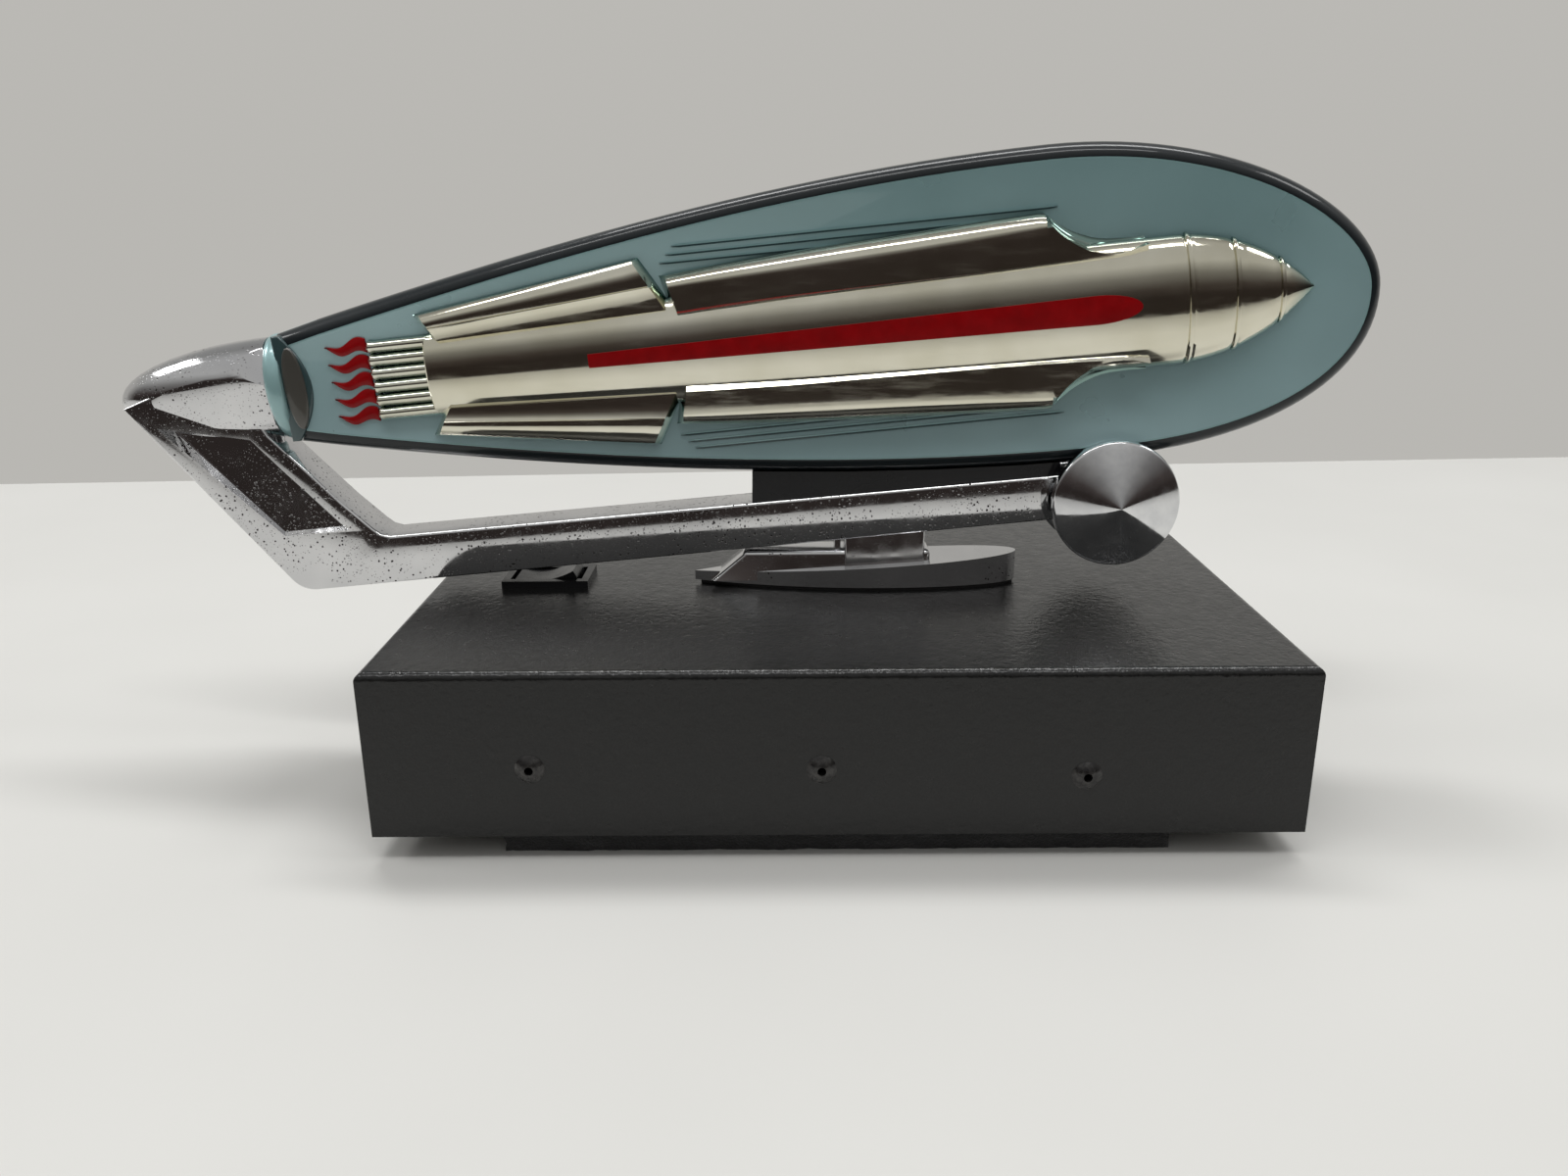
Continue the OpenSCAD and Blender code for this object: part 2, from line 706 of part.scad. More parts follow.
// A thin oval slice across the tail of the fin
module oval_slice(u, half_width, half_height) {
    translate([collar_u + u, 0, 0]) rotate([90, 0, 90]) linear_extrude(fine)
        polygon([for (i = [0 : 12]) let (q = 90 + 15 * i) [half_width * cos(q),
            half_height * sin(q)]]);
}

module fin_body() {
    hull() {
        fin_slice(-fine, 0);
        fin_slice(-face_y * 0.45, 0);
        fin_slice(-face_y * 0.8, rim_width * 0.35);
        fin_slice(-face_y, rim_width);
    }
}

module fin_tail() {
    hull() {
        oval_slice(4, collar_half_width, collar_half_height);
        oval_slice(8, collar_half_width - 0.6, collar_half_height + 0.6);
        oval_slice(15, face_y, collar_half_height - 0.6);
    }
}

module collar_bead() {
    hull() {
        oval_slice(0, collar_half_width - 0.4, collar_half_height - 0.4);
        oval_slice(1.2, collar_half_width + 0.5, collar_half_height + 0.5);
        oval_slice(3.4, collar_half_width + 0.5, collar_half_height + 0.5);
        oval_slice(4.6, collar_half_width - 0.4, collar_half_height - 0.4);
    }
}

module speed_lines() {
    for (s = [-1, 1], i = [0 : 2])
        translate([-34 + 2 * i, -face_y - 1, s * (20.2 + 1.75 * i) - 0.25])
            cube([14 + 33 * i, 1.3, 0.5]);
}

module plate_outline(grow) {
    offset(delta = grow) intersection() {
        offset(delta = -rim_width - 0.6) polygon(fin_points);
        translate([collar_u + 10.5, -50]) square([300, 100]);
    }
}

module fin_half(side) {
    on_axis() mirrored(side) difference() {
        union() {
            fin_body();
            fin_tail();
            collar_bead();
        }
        along_x(lamp_recess, collar_u - 5, collar_u + 9);
        standing(-reflector / 2 - 0.05, 5) plate_outline(0.1);
        speed_lines();
        for (u = saddle_screw_places) translate([u, 0, -axis_height]) cylinder(r = 1.53, h = 25.4);
    }
}

module fin_left() {
    color([0.33, 0.45, 0.47]) fin_half(1);
}

module fin_right() {
    color([0.33, 0.45, 0.47]) fin_half(-1);
}

module reflector_plate() {
    color([0.7, 0.75, 0.75]) on_axis() difference() {
        standing(-reflector / 2, reflector / 2) plate_outline(0);
        for (u = saddle_screw_places) translate([u, 0, -axis_height]) cylinder(r = 1.8, h = 25.8);
    }
}

// ---------------------------------------------------------------- rocket

exhaust_back = -body_back - 14;
flame_depth = 0.35;
flute_pitch = 2 * body_back_half / flutes;

// Half an oval across the body, lying on the fin's face, with the body's own flatness
module body_slice(u, half_height, thickness = fine) {
    relief = half_height * body_relief / body_front_half;
    translate([u, 0, 0]) rotate([90, 0, 90]) linear_extrude(thickness)
        polygon([for (i = [0 : 20]) let (q = 9 * i) [-face_y - relief * sin(q),
            half_height * cos(q)]]);
}

// The body in front of the fin's face, grown all over by extra
module body_form(extra = 0) {
    hull() for (p = body_points) body_slice(p[0], p[1] + extra);
}

module rings() {
    for (u = ring_places) body_slice(u - 0.4, nose_half(u) + 0.35, 0.8);
}

// A small fin: a raised flat that slopes down outward, cut to its outline
module small_fin(points, low, ridge, high, along) {
    intersection() {
        standing(-face_y - fin_relief, -face_y) polygon(points);
        translate([along[0], -face_y, 0]) rotate([90, 0, 90]) linear_extrude(along[1] - along[0])
            polygon([[0.5, low], [0.4 - fin_relief, low], [-fin_relief, ridge[0]],
                [0.6 - fin_relief, ridge[1]], [-0.6, high], [0.5, high]]);
    }
}

module small_fins() {
    for (s = [0, 1]) mirror([0, 0, s]) {
        small_fin(rear_fin, 6, [11, 14.5], 23, [-95, -30]);
        small_fin(front_fin, 8, [11.6, 17], 24, [-36, 80]);
    }
}

module exhaust() {
    for (i = [0 : flutes - 1])
        translate([0, -face_y, (i - (flutes - 1) / 2) * flute_pitch])
            along_x(0.54 * flute_pitch, exhaust_back, -body_back + 0.4);
}

module stripe_blank(grow) {
    standing(-face_y - 20, -face_y - 1.4) offset(delta = grow) polygon(stripe_points);
}

module rocket(side) {
    on_axis() mirrored(side) intersection() {
        difference() {
            union() {
                body_form();
                rings();
                small_fins();
                exhaust();
            }
            stripe_blank(0.05);
        }
        side_space(-1, face_y);
    }
}

module rocket_left() {
    color([0.78, 0.76, 0.66]) rocket(1);
}

module rocket_right() {
    color([0.78, 0.76, 0.66]) rocket(-1);
}

module stripe(side) {
    on_axis() mirrored(side) intersection() {
        stripe_blank(0);
        body_form(0.5);
    }
}

module stripe_left() {
    color([0.6, 0, 0.02]) stripe(1);
}

module stripe_right() {
    color([0.6, 0, 0.02]) stripe(-1);
}

module place_flames() {
    for (i = [0 : flames - 1]) translate([exhaust_back - 0.1, 0,
        (i - (flames - 1) / 2) * 2 * body_back_half / flames])
        standing(-face_y - flame_depth, -face_y) polygon(flame);
}

module flames_left() {
    color([0.6, 0, 0.02]) on_axis() mirrored(1)
        place_flames();
}

module flames_right() {
    color([0.6, 0, 0.02]) on_axis() mirrored(-1)
        place_flames();
}

// ---------------------------------------------------------------- lamp and wires

holder_r = 6.2;
cap_r = 4.6;

module lamp_holder() {
    color([0.8, 0.65, 0.3]) on_axis() difference() {
        along_x(holder_r, collar_u - 15.8, collar_u - 1);
        along_x(cap_r + 0.1, collar_u - 12.8, collar_u);
        along_x(1.8, collar_u - 20, collar_u);
    }
}

module bulb_cap() {
    color([0.75, 0.62, 0.35]) on_axis() along_x(cap_r, collar_u - 10.4, collar_u - 1.6);
}

module bulb_glass() {
    color([0.9, 0.9, 0.85]) on_axis() {
        along_x(4.4, collar_u - 1.58, collar_u + 3);
        translate([collar_u + 3, 0, 0]) sphere(r = 4.4);
    }
}

module lamp_contact() {
    color([0.8, 0.7, 0.4]) on_axis() along_x(1.7, collar_u - 15.8, collar_u - 10.45);
}

wire_r = 1.3;

module lamp_wire() {
    color([0.6, 0.08, 0.06]) {
        on_axis() along_x(wire_r - 0.2, collar_u - 17.6, collar_u - 15.8);
        passage(wire_r);
        translate([wire_x, 0, base_top - 14]) cylinder(r = wire_r - 0.1, h = bar_lift + 22);
    }
}

module battery_wires() {
    color([0.5, 0.05, 0.05]) {
        wire_run([wire_x, 0, base_top - 14.78], [switch_x + 5, switch_y, base_top - 21.6]);
        wire_run([switch_x - 5, switch_y, base_top - 21.6], [tray_x - cell_length / 2 - 5.3,
            tray_y, plate_z + sheet + 8]);
    }
}

module wire_run(a, b) {
    v = b - a;
    translate(a) rotate([0, acos(v[2] / norm(v)), atan2(v[1], v[0])])
        cylinder(r = 0.75, h = norm(v));
}

box_shell();
bottom_plate();
felt_pad();
pop_rivets();
switch_housing();
switch_rocker();
switch_terminals();
switch_plunger();
battery_tray();
battery_cells();
battery_contacts();
tray_screws();
foot_casting();
foot_gasket();
foot_studs();
foot_washers();
foot_nuts();
arm_screws();
wire_grommet();
arm_casting();
disc_axle();
disc_left();
disc_right();
saddle();
saddle_screws();
fin_left();
fin_right();
reflector_plate();
rocket_left();
rocket_right();
stripe_left();
stripe_right();
flames_left();
flames_right();
lamp_holder();
bulb_cap();
bulb_glass();
lamp_contact();
lamp_wire();
battery_wires();
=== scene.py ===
# %% [markdown]
# # A lighted rocket hood ornament on its display base
# A teardrop fin of smoky blue-green acrylic carries a mirrored rocket in relief on each
# face. A pitted chrome casting holds the fin by its tail and runs under it as a bar, with a
# cone faced disc on each side of its front end. The whole stands on a folded steel box.
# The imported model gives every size. This script keeps the engineered pieces as they are,
# gives them their finishes, and models afresh the pieces whose surfaces make the looks.

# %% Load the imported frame
import json
import math
import bmesh
import bpy
from mathutils import Matrix, Vector

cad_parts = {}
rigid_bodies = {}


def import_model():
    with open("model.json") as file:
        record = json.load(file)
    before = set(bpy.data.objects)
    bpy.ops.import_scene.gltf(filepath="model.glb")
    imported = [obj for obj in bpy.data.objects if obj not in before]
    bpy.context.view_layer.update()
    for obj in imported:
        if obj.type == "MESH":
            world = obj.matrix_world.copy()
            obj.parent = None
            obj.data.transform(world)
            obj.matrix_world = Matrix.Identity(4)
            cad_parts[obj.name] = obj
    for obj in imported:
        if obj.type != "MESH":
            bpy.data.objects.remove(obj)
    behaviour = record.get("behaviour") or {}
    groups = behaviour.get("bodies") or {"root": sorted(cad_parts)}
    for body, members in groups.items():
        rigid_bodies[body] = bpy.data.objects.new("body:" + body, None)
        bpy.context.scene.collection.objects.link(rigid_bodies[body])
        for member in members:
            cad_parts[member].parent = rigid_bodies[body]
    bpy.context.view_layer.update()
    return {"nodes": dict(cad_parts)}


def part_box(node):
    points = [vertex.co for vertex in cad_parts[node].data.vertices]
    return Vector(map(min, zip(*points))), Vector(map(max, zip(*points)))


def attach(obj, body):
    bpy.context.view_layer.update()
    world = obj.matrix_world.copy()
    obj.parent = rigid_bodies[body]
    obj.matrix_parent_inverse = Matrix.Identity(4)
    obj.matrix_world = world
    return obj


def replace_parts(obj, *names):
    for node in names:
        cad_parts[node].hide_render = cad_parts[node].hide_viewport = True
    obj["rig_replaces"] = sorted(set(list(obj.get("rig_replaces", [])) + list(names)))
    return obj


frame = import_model()
nodes = frame["nodes"]

# %% [markdown]
# ## The ornament's own frame
# The ornament leans back on its base, its nose 5.2 degrees up. It is easier to model it
# level and in millimetres, and to lean it at the end. u runs forward along the bar, r is
# the height over the rocket's centre line, and Y points to the ornament's left. What lies
# on the fin's face starts a little inside it, at SUNK_Y.

# %% Frames and sizes
MM = 0.001
BASE_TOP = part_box("box_shell")[1].z / MM
BAR_LIFT = 12.4
TILT = math.radians(5.2)
AXIS_HEIGHT = 50.75
LEAN = (Matrix.Translation((0, 0, (BASE_TOP + BAR_LIFT) * MM)) @ Matrix.Rotation(-TILT, 4, "Y")
        @ Matrix.Scale(MM, 4))
ON_BAR = LEAN
ON_AXIS = LEAN @ Matrix.Translation((0, 0, AXIS_HEIGHT))
ON_BASE = Matrix.Scale(MM, 4)
FACE_Y = 7.5
SUNK_Y = -FACE_Y + 0.3
COLLAR = -131.0
AXLE_U, AXLE_R = 70, 3.9
print("base top at", round(BASE_TOP, 2), "mm")

# %% [markdown]
# ## The camera
# The ornament was seen from a little above and almost square to its right side, through
# the short lens of a telephone. The camera is turned by three angles: down, round and over.

# %% Camera
CAMERA_PLACE = Vector((-9.31, -301.74, 137.89)) * MM
PITCH, YAW, ROLL = math.radians(17.573), math.radians(-0.434), math.radians(0.536)
ahead = Vector((math.sin(YAW) * math.cos(PITCH), math.cos(YAW) * math.cos(PITCH), -math.sin(PITCH)))
level = Vector((math.cos(YAW), -math.sin(YAW), 0))
down = ahead.cross(level)
right = math.cos(ROLL) * level + math.sin(ROLL) * down
down = -math.sin(ROLL) * level + math.cos(ROLL) * down
camera_data = bpy.data.cameras.new("camera")
camera_data.lens, camera_data.sensor_width, camera_data.clip_start = 28.125, 36.0, 0.01
camera = bpy.data.objects.new("camera", camera_data)
bpy.context.scene.collection.objects.link(camera)
camera.matrix_world = Matrix.Translation(CAMERA_PLACE) @ Matrix(
    (right, -down, -ahead)).transposed().to_4x4()
bpy.context.scene.camera = camera
bpy.context.scene.view_settings.view_transform = "Standard"
print("camera looks", round(math.degrees(PITCH), 1), "degrees down")

# %% [markdown]
# ## Finishes
# A finish is one Principled shader fed by small procedural patterns. Each pattern reads
# Object coordinates, in metres, so its grain has a real size: a pattern of 2 mm is the
# same on a screw as on the box. The class below keeps the wiring of nodes short.

# %% A helper that builds a finish
class Finish:
    def __init__(self, name, **sockets):
        self.material = bpy.data.materials.new(name)
        self.material.use_nodes = True
        self.tree = self.material.node_tree
        self.shader = self.tree.nodes["Principled BSDF"]
        for key, value in sockets.items():
            self.socket(key).default_value = value
        self.place = self.tree.nodes.new("ShaderNodeTexCoord").outputs["Object"]

    def socket(self, key):
        return self.shader.inputs[key.replace("_", " ")]

    def node(self, kind, sources=(), **settings):
        node = self.tree.nodes.new(kind)
        for key, value in settings.items():
            setattr(node, key, value)
        for key, value in dict(sources).items():
            if isinstance(value, bpy.types.NodeSocket):
                self.tree.links.new(value, node.inputs[key])
            else:
                node.inputs[key].default_value = value
        return node

    def stretched(self, scale):
        return self.node("ShaderNodeMapping", {"Vector": self.place, "Scale": scale}).outputs[0]

    def noise(self, grain, detail=3.0, place=None):
        return self.node("ShaderNodeTexNoise", {"Vector": place or self.place,
            "Scale": 1 / (grain * MM), "Detail": detail, "Roughness": 0.55}).outputs["Fac"]

    def cells(self, grain):
        return self.node("ShaderNodeTexVoronoi", {"Vector": self.place,
            "Scale": 1 / (grain * MM)}).outputs["Distance"]

    def level(self, source, low, high, to_low=0.0, to_high=1.0):
        return self.node("ShaderNodeMapRange", {0: source, 1: low, 2: high, 3: to_low,
            4: to_high}).outputs[0]

    def sums(self, operation, a, b=0.0):
        return self.node("ShaderNodeMath", {0: a, 1: b}, operation=operation).outputs[0]

    def mix(self, share, a, b):
        return self.node("ShaderNodeMix", {"Factor": share, 6: a, 7: b},
            data_type="RGBA").outputs[2]

    def color(self, source):
        self.tree.links.new(source, self.socket("Base_Color"))

    def rough(self, source):
        self.tree.links.new(source, self.socket("Roughness"))

    def bump(self, source, depth, strength=1.0):
        node = self.node("ShaderNodeBump", {"Height": source, "Strength": strength,
            "Distance": depth * MM})
        self.tree.links.new(node.outputs[0], self.socket("Normal"))


def paint(piece, *finishes):
    piece.data.materials.clear()
    for finish in finishes:
        piece.data.materials.append(finish.material)


# %% [markdown]
# ### Chrome
# Old chrome on a zinc casting is a mirror with a history: it is full of pin holes where
# moisture has lifted the plate, it is hazy here and there, and it waves a little, because a
# casting is never quite flat. The pits come from cells cut down to their centres and kept
# only where a larger noise allows, so that they gather in crowds.

# %% Pitted chrome, turned chrome and warm silver
def pitted(name, amount, haze=0.07):
    chrome = Finish(name, Metallic=1.0, Coat_Weight=0.0)
    dots = chrome.level(chrome.cells(1.25), 0.13, 0.24, 1.0, 0.0)
    crowd = chrome.level(chrome.noise(17, 2.0), 0.62 - amount, 0.66 - amount * 0.7)
    small = chrome.level(chrome.cells(0.62), 0.10, 0.2, 0.8, 0.0)
    small_crowd = chrome.level(chrome.noise(9, 3.0), 0.60 - amount, 0.68 - amount)
    pits = chrome.sums("MAXIMUM", chrome.sums("MULTIPLY", dots, crowd),
        chrome.sums("MULTIPLY", small, small_crowd))
    plate = chrome.mix(chrome.level(chrome.noise(30), 0.35, 0.7), (0.60, 0.60, 0.61, 1),
        (0.74, 0.74, 0.745, 1))
    chrome.color(chrome.mix(pits, plate, (0.035, 0.03, 0.028, 1)))
    shine = chrome.level(chrome.noise(6, 4.0), 0.35, 0.75, haze * 0.6, haze * 2.0)
    chrome.rough(chrome.sums("MAXIMUM", shine, chrome.sums("MULTIPLY", pits, 0.55)))
    wave = chrome.sums("MULTIPLY", chrome.noise(14, 2.0), 1.4)
    chrome.bump(chrome.sums("SUBTRACT", wave, pits), 0.05, 0.5)
    return chrome


cast_chrome = pitted("cast_chrome", 0.19)
foot_chrome = pitted("foot_chrome", 0.02, 0.1)

turned_chrome = Finish("turned_chrome", Metallic=1.0)
lathe = turned_chrome.noise(0.35, 2.0, turned_chrome.stretched((1, 0.02, 1)))
turned_chrome.color(turned_chrome.mix(turned_chrome.level(turned_chrome.noise(5), 0.4, 0.7),
    (0.66, 0.665, 0.68, 1), (0.78, 0.785, 0.79, 1)))
turned_chrome.rough(turned_chrome.level(turned_chrome.noise(2.2, 4.0), 0.4, 0.7, 0.05, 0.13))
turned_chrome.bump(lathe, 0.01, 0.15)

warm_silver = Finish("warm_silver", Metallic=1.0, Coat_Weight=0.6, Coat_Roughness=0.03)
across = warm_silver.node("ShaderNodeSeparateXYZ", {0: warm_silver.place}).outputs[1]
outward = warm_silver.sums("ABSOLUTE", across)
# Where the relief comes down to the fin's face its silver turns teal: a painted reflection of the
# teal face beside it.
painted_teal_reflection = warm_silver.level(outward, (FACE_Y + 0.3) * MM, (FACE_Y + 2.2) * MM, 1.0, 0.0)
silver = warm_silver.mix(warm_silver.level(warm_silver.noise(26), 0.35, 0.7),
    (0.66, 0.63, 0.50, 1), (0.80, 0.775, 0.66, 1))
warm_silver.color(warm_silver.mix(painted_teal_reflection, silver, (0.20, 0.31, 0.28, 1)))
scuffs = warm_silver.noise(1.6, 5.0, warm_silver.stretched((0.15, 1, 1)))
warm_silver.rough(warm_silver.level(scuffs, 0.45, 0.75, 0.07, 0.2))
warm_silver.bump(warm_silver.noise(9, 3.0), 0.05, 0.25)
print("chrome, turned chrome and warm silver are mixed")

# %% [markdown]
# ### Acrylic, enamel and paint
# The fin is thick smoky acrylic over a silvered sheet. Seen through its flat face it is a soft
# blue-green with a hard gloss on top, painted lighter low down and darker high up as a painted
# reflection. Along its rounded rim, where the light runs away inside the edge, it is nearly black:
# a painted dark reflection in the rim's colour. The box's powder coat flowed as it cured, which
# leaves the fine bumps of orange peel.

# %% Acrylic, enamel, powder coat and the small finishes
def acrylic(name, dark, light, glow=0.35):
    finish = Finish(name, Metallic=glow, Roughness=0.32, Coat_Weight=1.0, Coat_Roughness=0.02,
        Coat_IOR=1.49)
    cloud = finish.level(finish.noise(60, 2.0), 0.3, 0.7, -0.12, 0.12)
    # The colour runs from the light colour low down to the dark colour higher up, with a random
    # cloud over it: a painted reflection.
    height = finish.node("ShaderNodeSeparateXYZ", {0: finish.place}).outputs[2]
    painted_reflection_share = finish.sums("ADD", finish.level(height, 0.085, 0.145, 0.85, 0.15), cloud)
    finish.color(finish.mix(painted_reflection_share, dark, light))
    finish.rough(finish.level(finish.noise(20, 3.0), 0.3, 0.7, 0.27, 0.38))
    finish.bump(finish.noise(30, 1.0), 0.1, 0.05)
    return finish


teal_face = acrylic("teal_acrylic", (0.20, 0.35, 0.365, 1), (0.46, 0.66, 0.69, 1))
teal_light = acrylic("teal_edge_light", (0.26, 0.44, 0.45, 1), (0.34, 0.54, 0.55, 1))
# This near-black teal is painted shade: the shaded lower walls of the speed lines and the unlit
# bore seen through the neck.
teal_painted_shade = acrylic("painted_shade_teal", (0.02, 0.05, 0.055, 1), (0.04, 0.08, 0.085, 1), 0.2)
# The rim's near-black is painted: a painted dark reflection of the room, seen through the clear
# rounded edge.
rim_painted_dark = acrylic("rim_painted_dark", (0.006, 0.009, 0.011, 1), (0.012, 0.017, 0.02, 1), 0.0)
rim_painted_dark.socket("Coat_Weight").default_value = 0.45
rim_painted_dark.socket("Specular_IOR_Level").default_value = 0.2

bore_grey = acrylic("bore_grey", (0.035, 0.037, 0.034, 1), (0.10, 0.093, 0.08, 1), 0.3)

red_enamel = Finish("red_enamel", Coat_Weight=0.25, Coat_Roughness=0.05, Coat_IOR=1.4,
    Specular_IOR_Level=0.15)
red_enamel.color(red_enamel.mix(red_enamel.level(red_enamel.noise(4, 4.0), 0.35, 0.7),
    (0.25, 0.0006, 0.002, 1), (0.33, 0.001, 0.003, 1)))
red_enamel.rough(red_enamel.level(red_enamel.noise(2.5), 0.3, 0.7, 0.3, 0.45))
red_enamel.bump(red_enamel.cells(2.2), 0.05, 0.2)

powder_coat = Finish("powder_coat", Coat_Weight=0.45, Coat_Roughness=0.08,
    Specular_IOR_Level=0.2)
powder_coat.color(powder_coat.mix(powder_coat.level(powder_coat.noise(0.5, 4.0), 0.4, 0.7),
    (0.005, 0.005, 0.005, 1), (0.009, 0.009, 0.0085, 1)))
powder_coat.rough(powder_coat.level(powder_coat.noise(3.0, 3.0), 0.3, 0.7, 0.26, 0.38))
peel = powder_coat.sums("ADD", powder_coat.noise(1.5, 2.0), powder_coat.sums("MULTIPLY",
    powder_coat.noise(0.45, 2.0), 0.35))
powder_coat.bump(peel, 0.2, 0.7)
powder_coat.tree.links.new(powder_coat.socket("Normal").links[0].from_socket,
    powder_coat.socket("Coat_Normal"))

black_enamel = Finish("black_enamel", Coat_Weight=0.35, Coat_Roughness=0.04,
    Specular_IOR_Level=0.15)
black_enamel.color(black_enamel.mix(black_enamel.noise(8), (0.006, 0.006, 0.007, 1),
    (0.012, 0.012, 0.014, 1)))
black_enamel.rough(black_enamel.level(black_enamel.noise(12), 0.3, 0.7, 0.15, 0.3))
black_enamel.bump(black_enamel.noise(6), 0.05, 0.2)

black_plastic = Finish("black_plastic", Specular_IOR_Level=0.35)
black_plastic.color(black_plastic.mix(black_plastic.noise(6), (0.007, 0.007, 0.008, 1),
    (0.016, 0.016, 0.017, 1)))
black_plastic.rough(black_plastic.level(black_plastic.noise(3), 0.3, 0.7, 0.16, 0.3))
black_plastic.bump(black_plastic.noise(0.4, 3.0), 0.02, 0.3)

rivet_black = Finish("rivet_black", Metallic=0.6, Coat_Weight=0.4, Coat_Roughness=0.15)
rivet_black.color(rivet_black.mix(rivet_black.level(rivet_black.noise(1.2), 0.4, 0.65),
    (0.018, 0.017, 0.017, 1), (0.05, 0.048, 0.046, 1)))
rivet_black.rough(rivet_black.level(rivet_black.noise(0.8), 0.3, 0.7, 0.22, 0.45))
rivet_black.bump(rivet_black.noise(0.5), 0.03, 0.4)

felt = Finish("black_felt", Sheen_Weight=0.35, Sheen_Roughness=0.6, Roughness=0.95)
felt.color(felt.mix(felt.level(felt.noise(0.7, 5.0), 0.35, 0.7), (0.004, 0.004, 0.0045, 1),
    (0.014, 0.014, 0.015, 1)))
felt.bump(felt.noise(0.5, 6.0), 0.35, 0.9)

matte_plastic = Finish("matte_plastic")
matte_plastic.color(matte_plastic.mix(matte_plastic.noise(3), (0.02, 0.02, 0.021, 1),
    (0.032, 0.032, 0.033, 1)))
matte_plastic.rough(matte_plastic.level(matte_plastic.noise(1), 0.3, 0.7, 0.5, 0.7))
matte_plastic.bump(matte_plastic.noise(0.3), 0.03, 0.4)

rubber = Finish("black_rubber")
rubber.color(rubber.mix(rubber.noise(2), (0.012, 0.012, 0.012, 1), (0.025, 0.025, 0.025, 1)))
rubber.rough(rubber.level(rubber.noise(1), 0.3, 0.7, 0.6, 0.85))
rubber.bump(rubber.noise(0.4), 0.04, 0.5)


def plain_metal(name, dark, light, grain, low, high):
    metal = Finish(name, Metallic=1.0)
    metal.color(metal.mix(metal.level(metal.noise(grain * 4), 0.35, 0.65), dark, light))
    metal.rough(metal.level(metal.noise(grain), 0.3, 0.7, low, high))
    metal.bump(metal.noise(grain), 0.02, 0.3)
    return metal


zinc_plate = plain_metal("zinc_plate", (0.38, 0.38, 0.39, 1), (0.55, 0.55, 0.56, 1),
    0.6, 0.25, 0.42)
old_brass = plain_metal("old_brass", (0.34, 0.24, 0.10, 1), (0.58, 0.43, 0.2, 1),
    0.8, 0.2, 0.4)
silvered = plain_metal("silvered_sheet", (0.4, 0.48, 0.5, 1), (0.55, 0.62, 0.64, 1),
    3.0, 0.08, 0.2)

cell_wrap = Finish("cell_wrap", Coat_Weight=0.5, Coat_Roughness=0.1)
cell_wrap.color(cell_wrap.mix(cell_wrap.level(cell_wrap.noise(12), 0.45, 0.55),
    (0.03, 0.05, 0.09, 1), (0.06, 0.09, 0.15, 1)))
cell_wrap.rough(cell_wrap.level(cell_wrap.noise(2), 0.3, 0.7, 0.25, 0.4))

wire_red = Finish("wire_insulation")
wire_red.color(wire_red.mix(wire_red.noise(3), (0.22, 0.01, 0.01, 1), (0.34, 0.02, 0.015, 1)))
wire_red.rough(wire_red.level(wire_red.noise(1), 0.3, 0.7, 0.4, 0.6))
wire_red.bump(wire_red.noise(0.6), 0.03, 0.3)

lamp_glass = Finish("lamp_glass", Transmission_Weight=0.9, Roughness=0.05, IOR=1.45)
lamp_glass.color(lamp_glass.mix(lamp_glass.noise(4), (0.8, 0.8, 0.74, 1), (0.92, 0.92, 0.88, 1)))
print(len(bpy.data.materials), "materials")

# %% [markdown]
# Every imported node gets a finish, also the ones inside the box, which show when someone
# takes the model apart.

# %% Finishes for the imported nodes
FINISH_OF = {
    powder_coat: ["box_shell", "bottom_plate"],
    rivet_black: ["pop_rivets"],
    black_plastic: ["switch_housing", "switch_rocker"],
    old_brass: ["switch_terminals", "lamp_holder", "bulb_cap", "lamp_contact"],
    zinc_plate: ["switch_plunger", "battery_contacts", "tray_screws", "foot_studs",
        "foot_washers", "foot_nuts", "arm_screws", "disc_axle", "saddle_screws"],
    matte_plastic: ["battery_tray"],
    cell_wrap: ["battery_cells"],
    cast_chrome: ["foot_casting", "arm_casting"],
    turned_chrome: ["disc_left", "disc_right"],
    rubber: ["foot_gasket", "wire_grommet"],
    black_enamel: ["saddle"],
    teal_face: ["fin_left", "fin_right"],
    silvered: ["reflector_plate"],
    warm_silver: ["rocket_left", "rocket_right"],
    red_enamel: ["stripe_left", "stripe_right", "flames_left", "flames_right"],
    lamp_glass: ["bulb_glass"],
    wire_red: ["lamp_wire", "battery_wires"],
    felt: ["felt_pad"],
}
for name, width in (("switch_housing", 0.35), ("switch_rocker", 0.35), ("saddle", 0.5)):
    soften = nodes[name].modifiers.new("soften", "BEVEL")
    soften.width, soften.segments, soften.limit_method = width * MM, 3, "ANGLE"
    soften.angle_limit = math.radians(50)
for finish, names in FINISH_OF.items():
    for name in names:
        paint(nodes[name], finish)
print("painted", sum(len(names) for names in FINISH_OF.values()), "of", len(nodes), "nodes")

# %% [markdown]
# ## Modelling helpers
# Every new piece starts as a primitive and is worked in edit mode. These helpers hold the
# few moves that come back again and again: enter and leave edit mode, take a face along,
# shrink a ring, cut with a plane, and set the finished piece down in the object's frame.

# %% Helpers for edit mode
class editing:
    """With this, the piece is in edit mode with all of it selected."""
    def __init__(self, piece, mode="FACE"):
        self.piece, self.mode = piece, mode

    def __enter__(self):
        choose(self.piece)
        bpy.ops.object.mode_set(mode="EDIT")
        bpy.ops.mesh.select_mode(type=self.mode)
        bpy.ops.mesh.select_all(action="SELECT")
        return self

    def __exit__(self, *error):
        bpy.ops.object.mode_set(mode="OBJECT")


def choose(*pieces):
    bpy.ops.object.select_all(action="DESELECT")
    for piece in pieces:
        piece.select_set(True)
    bpy.context.view_layer.objects.active = pieces[0]


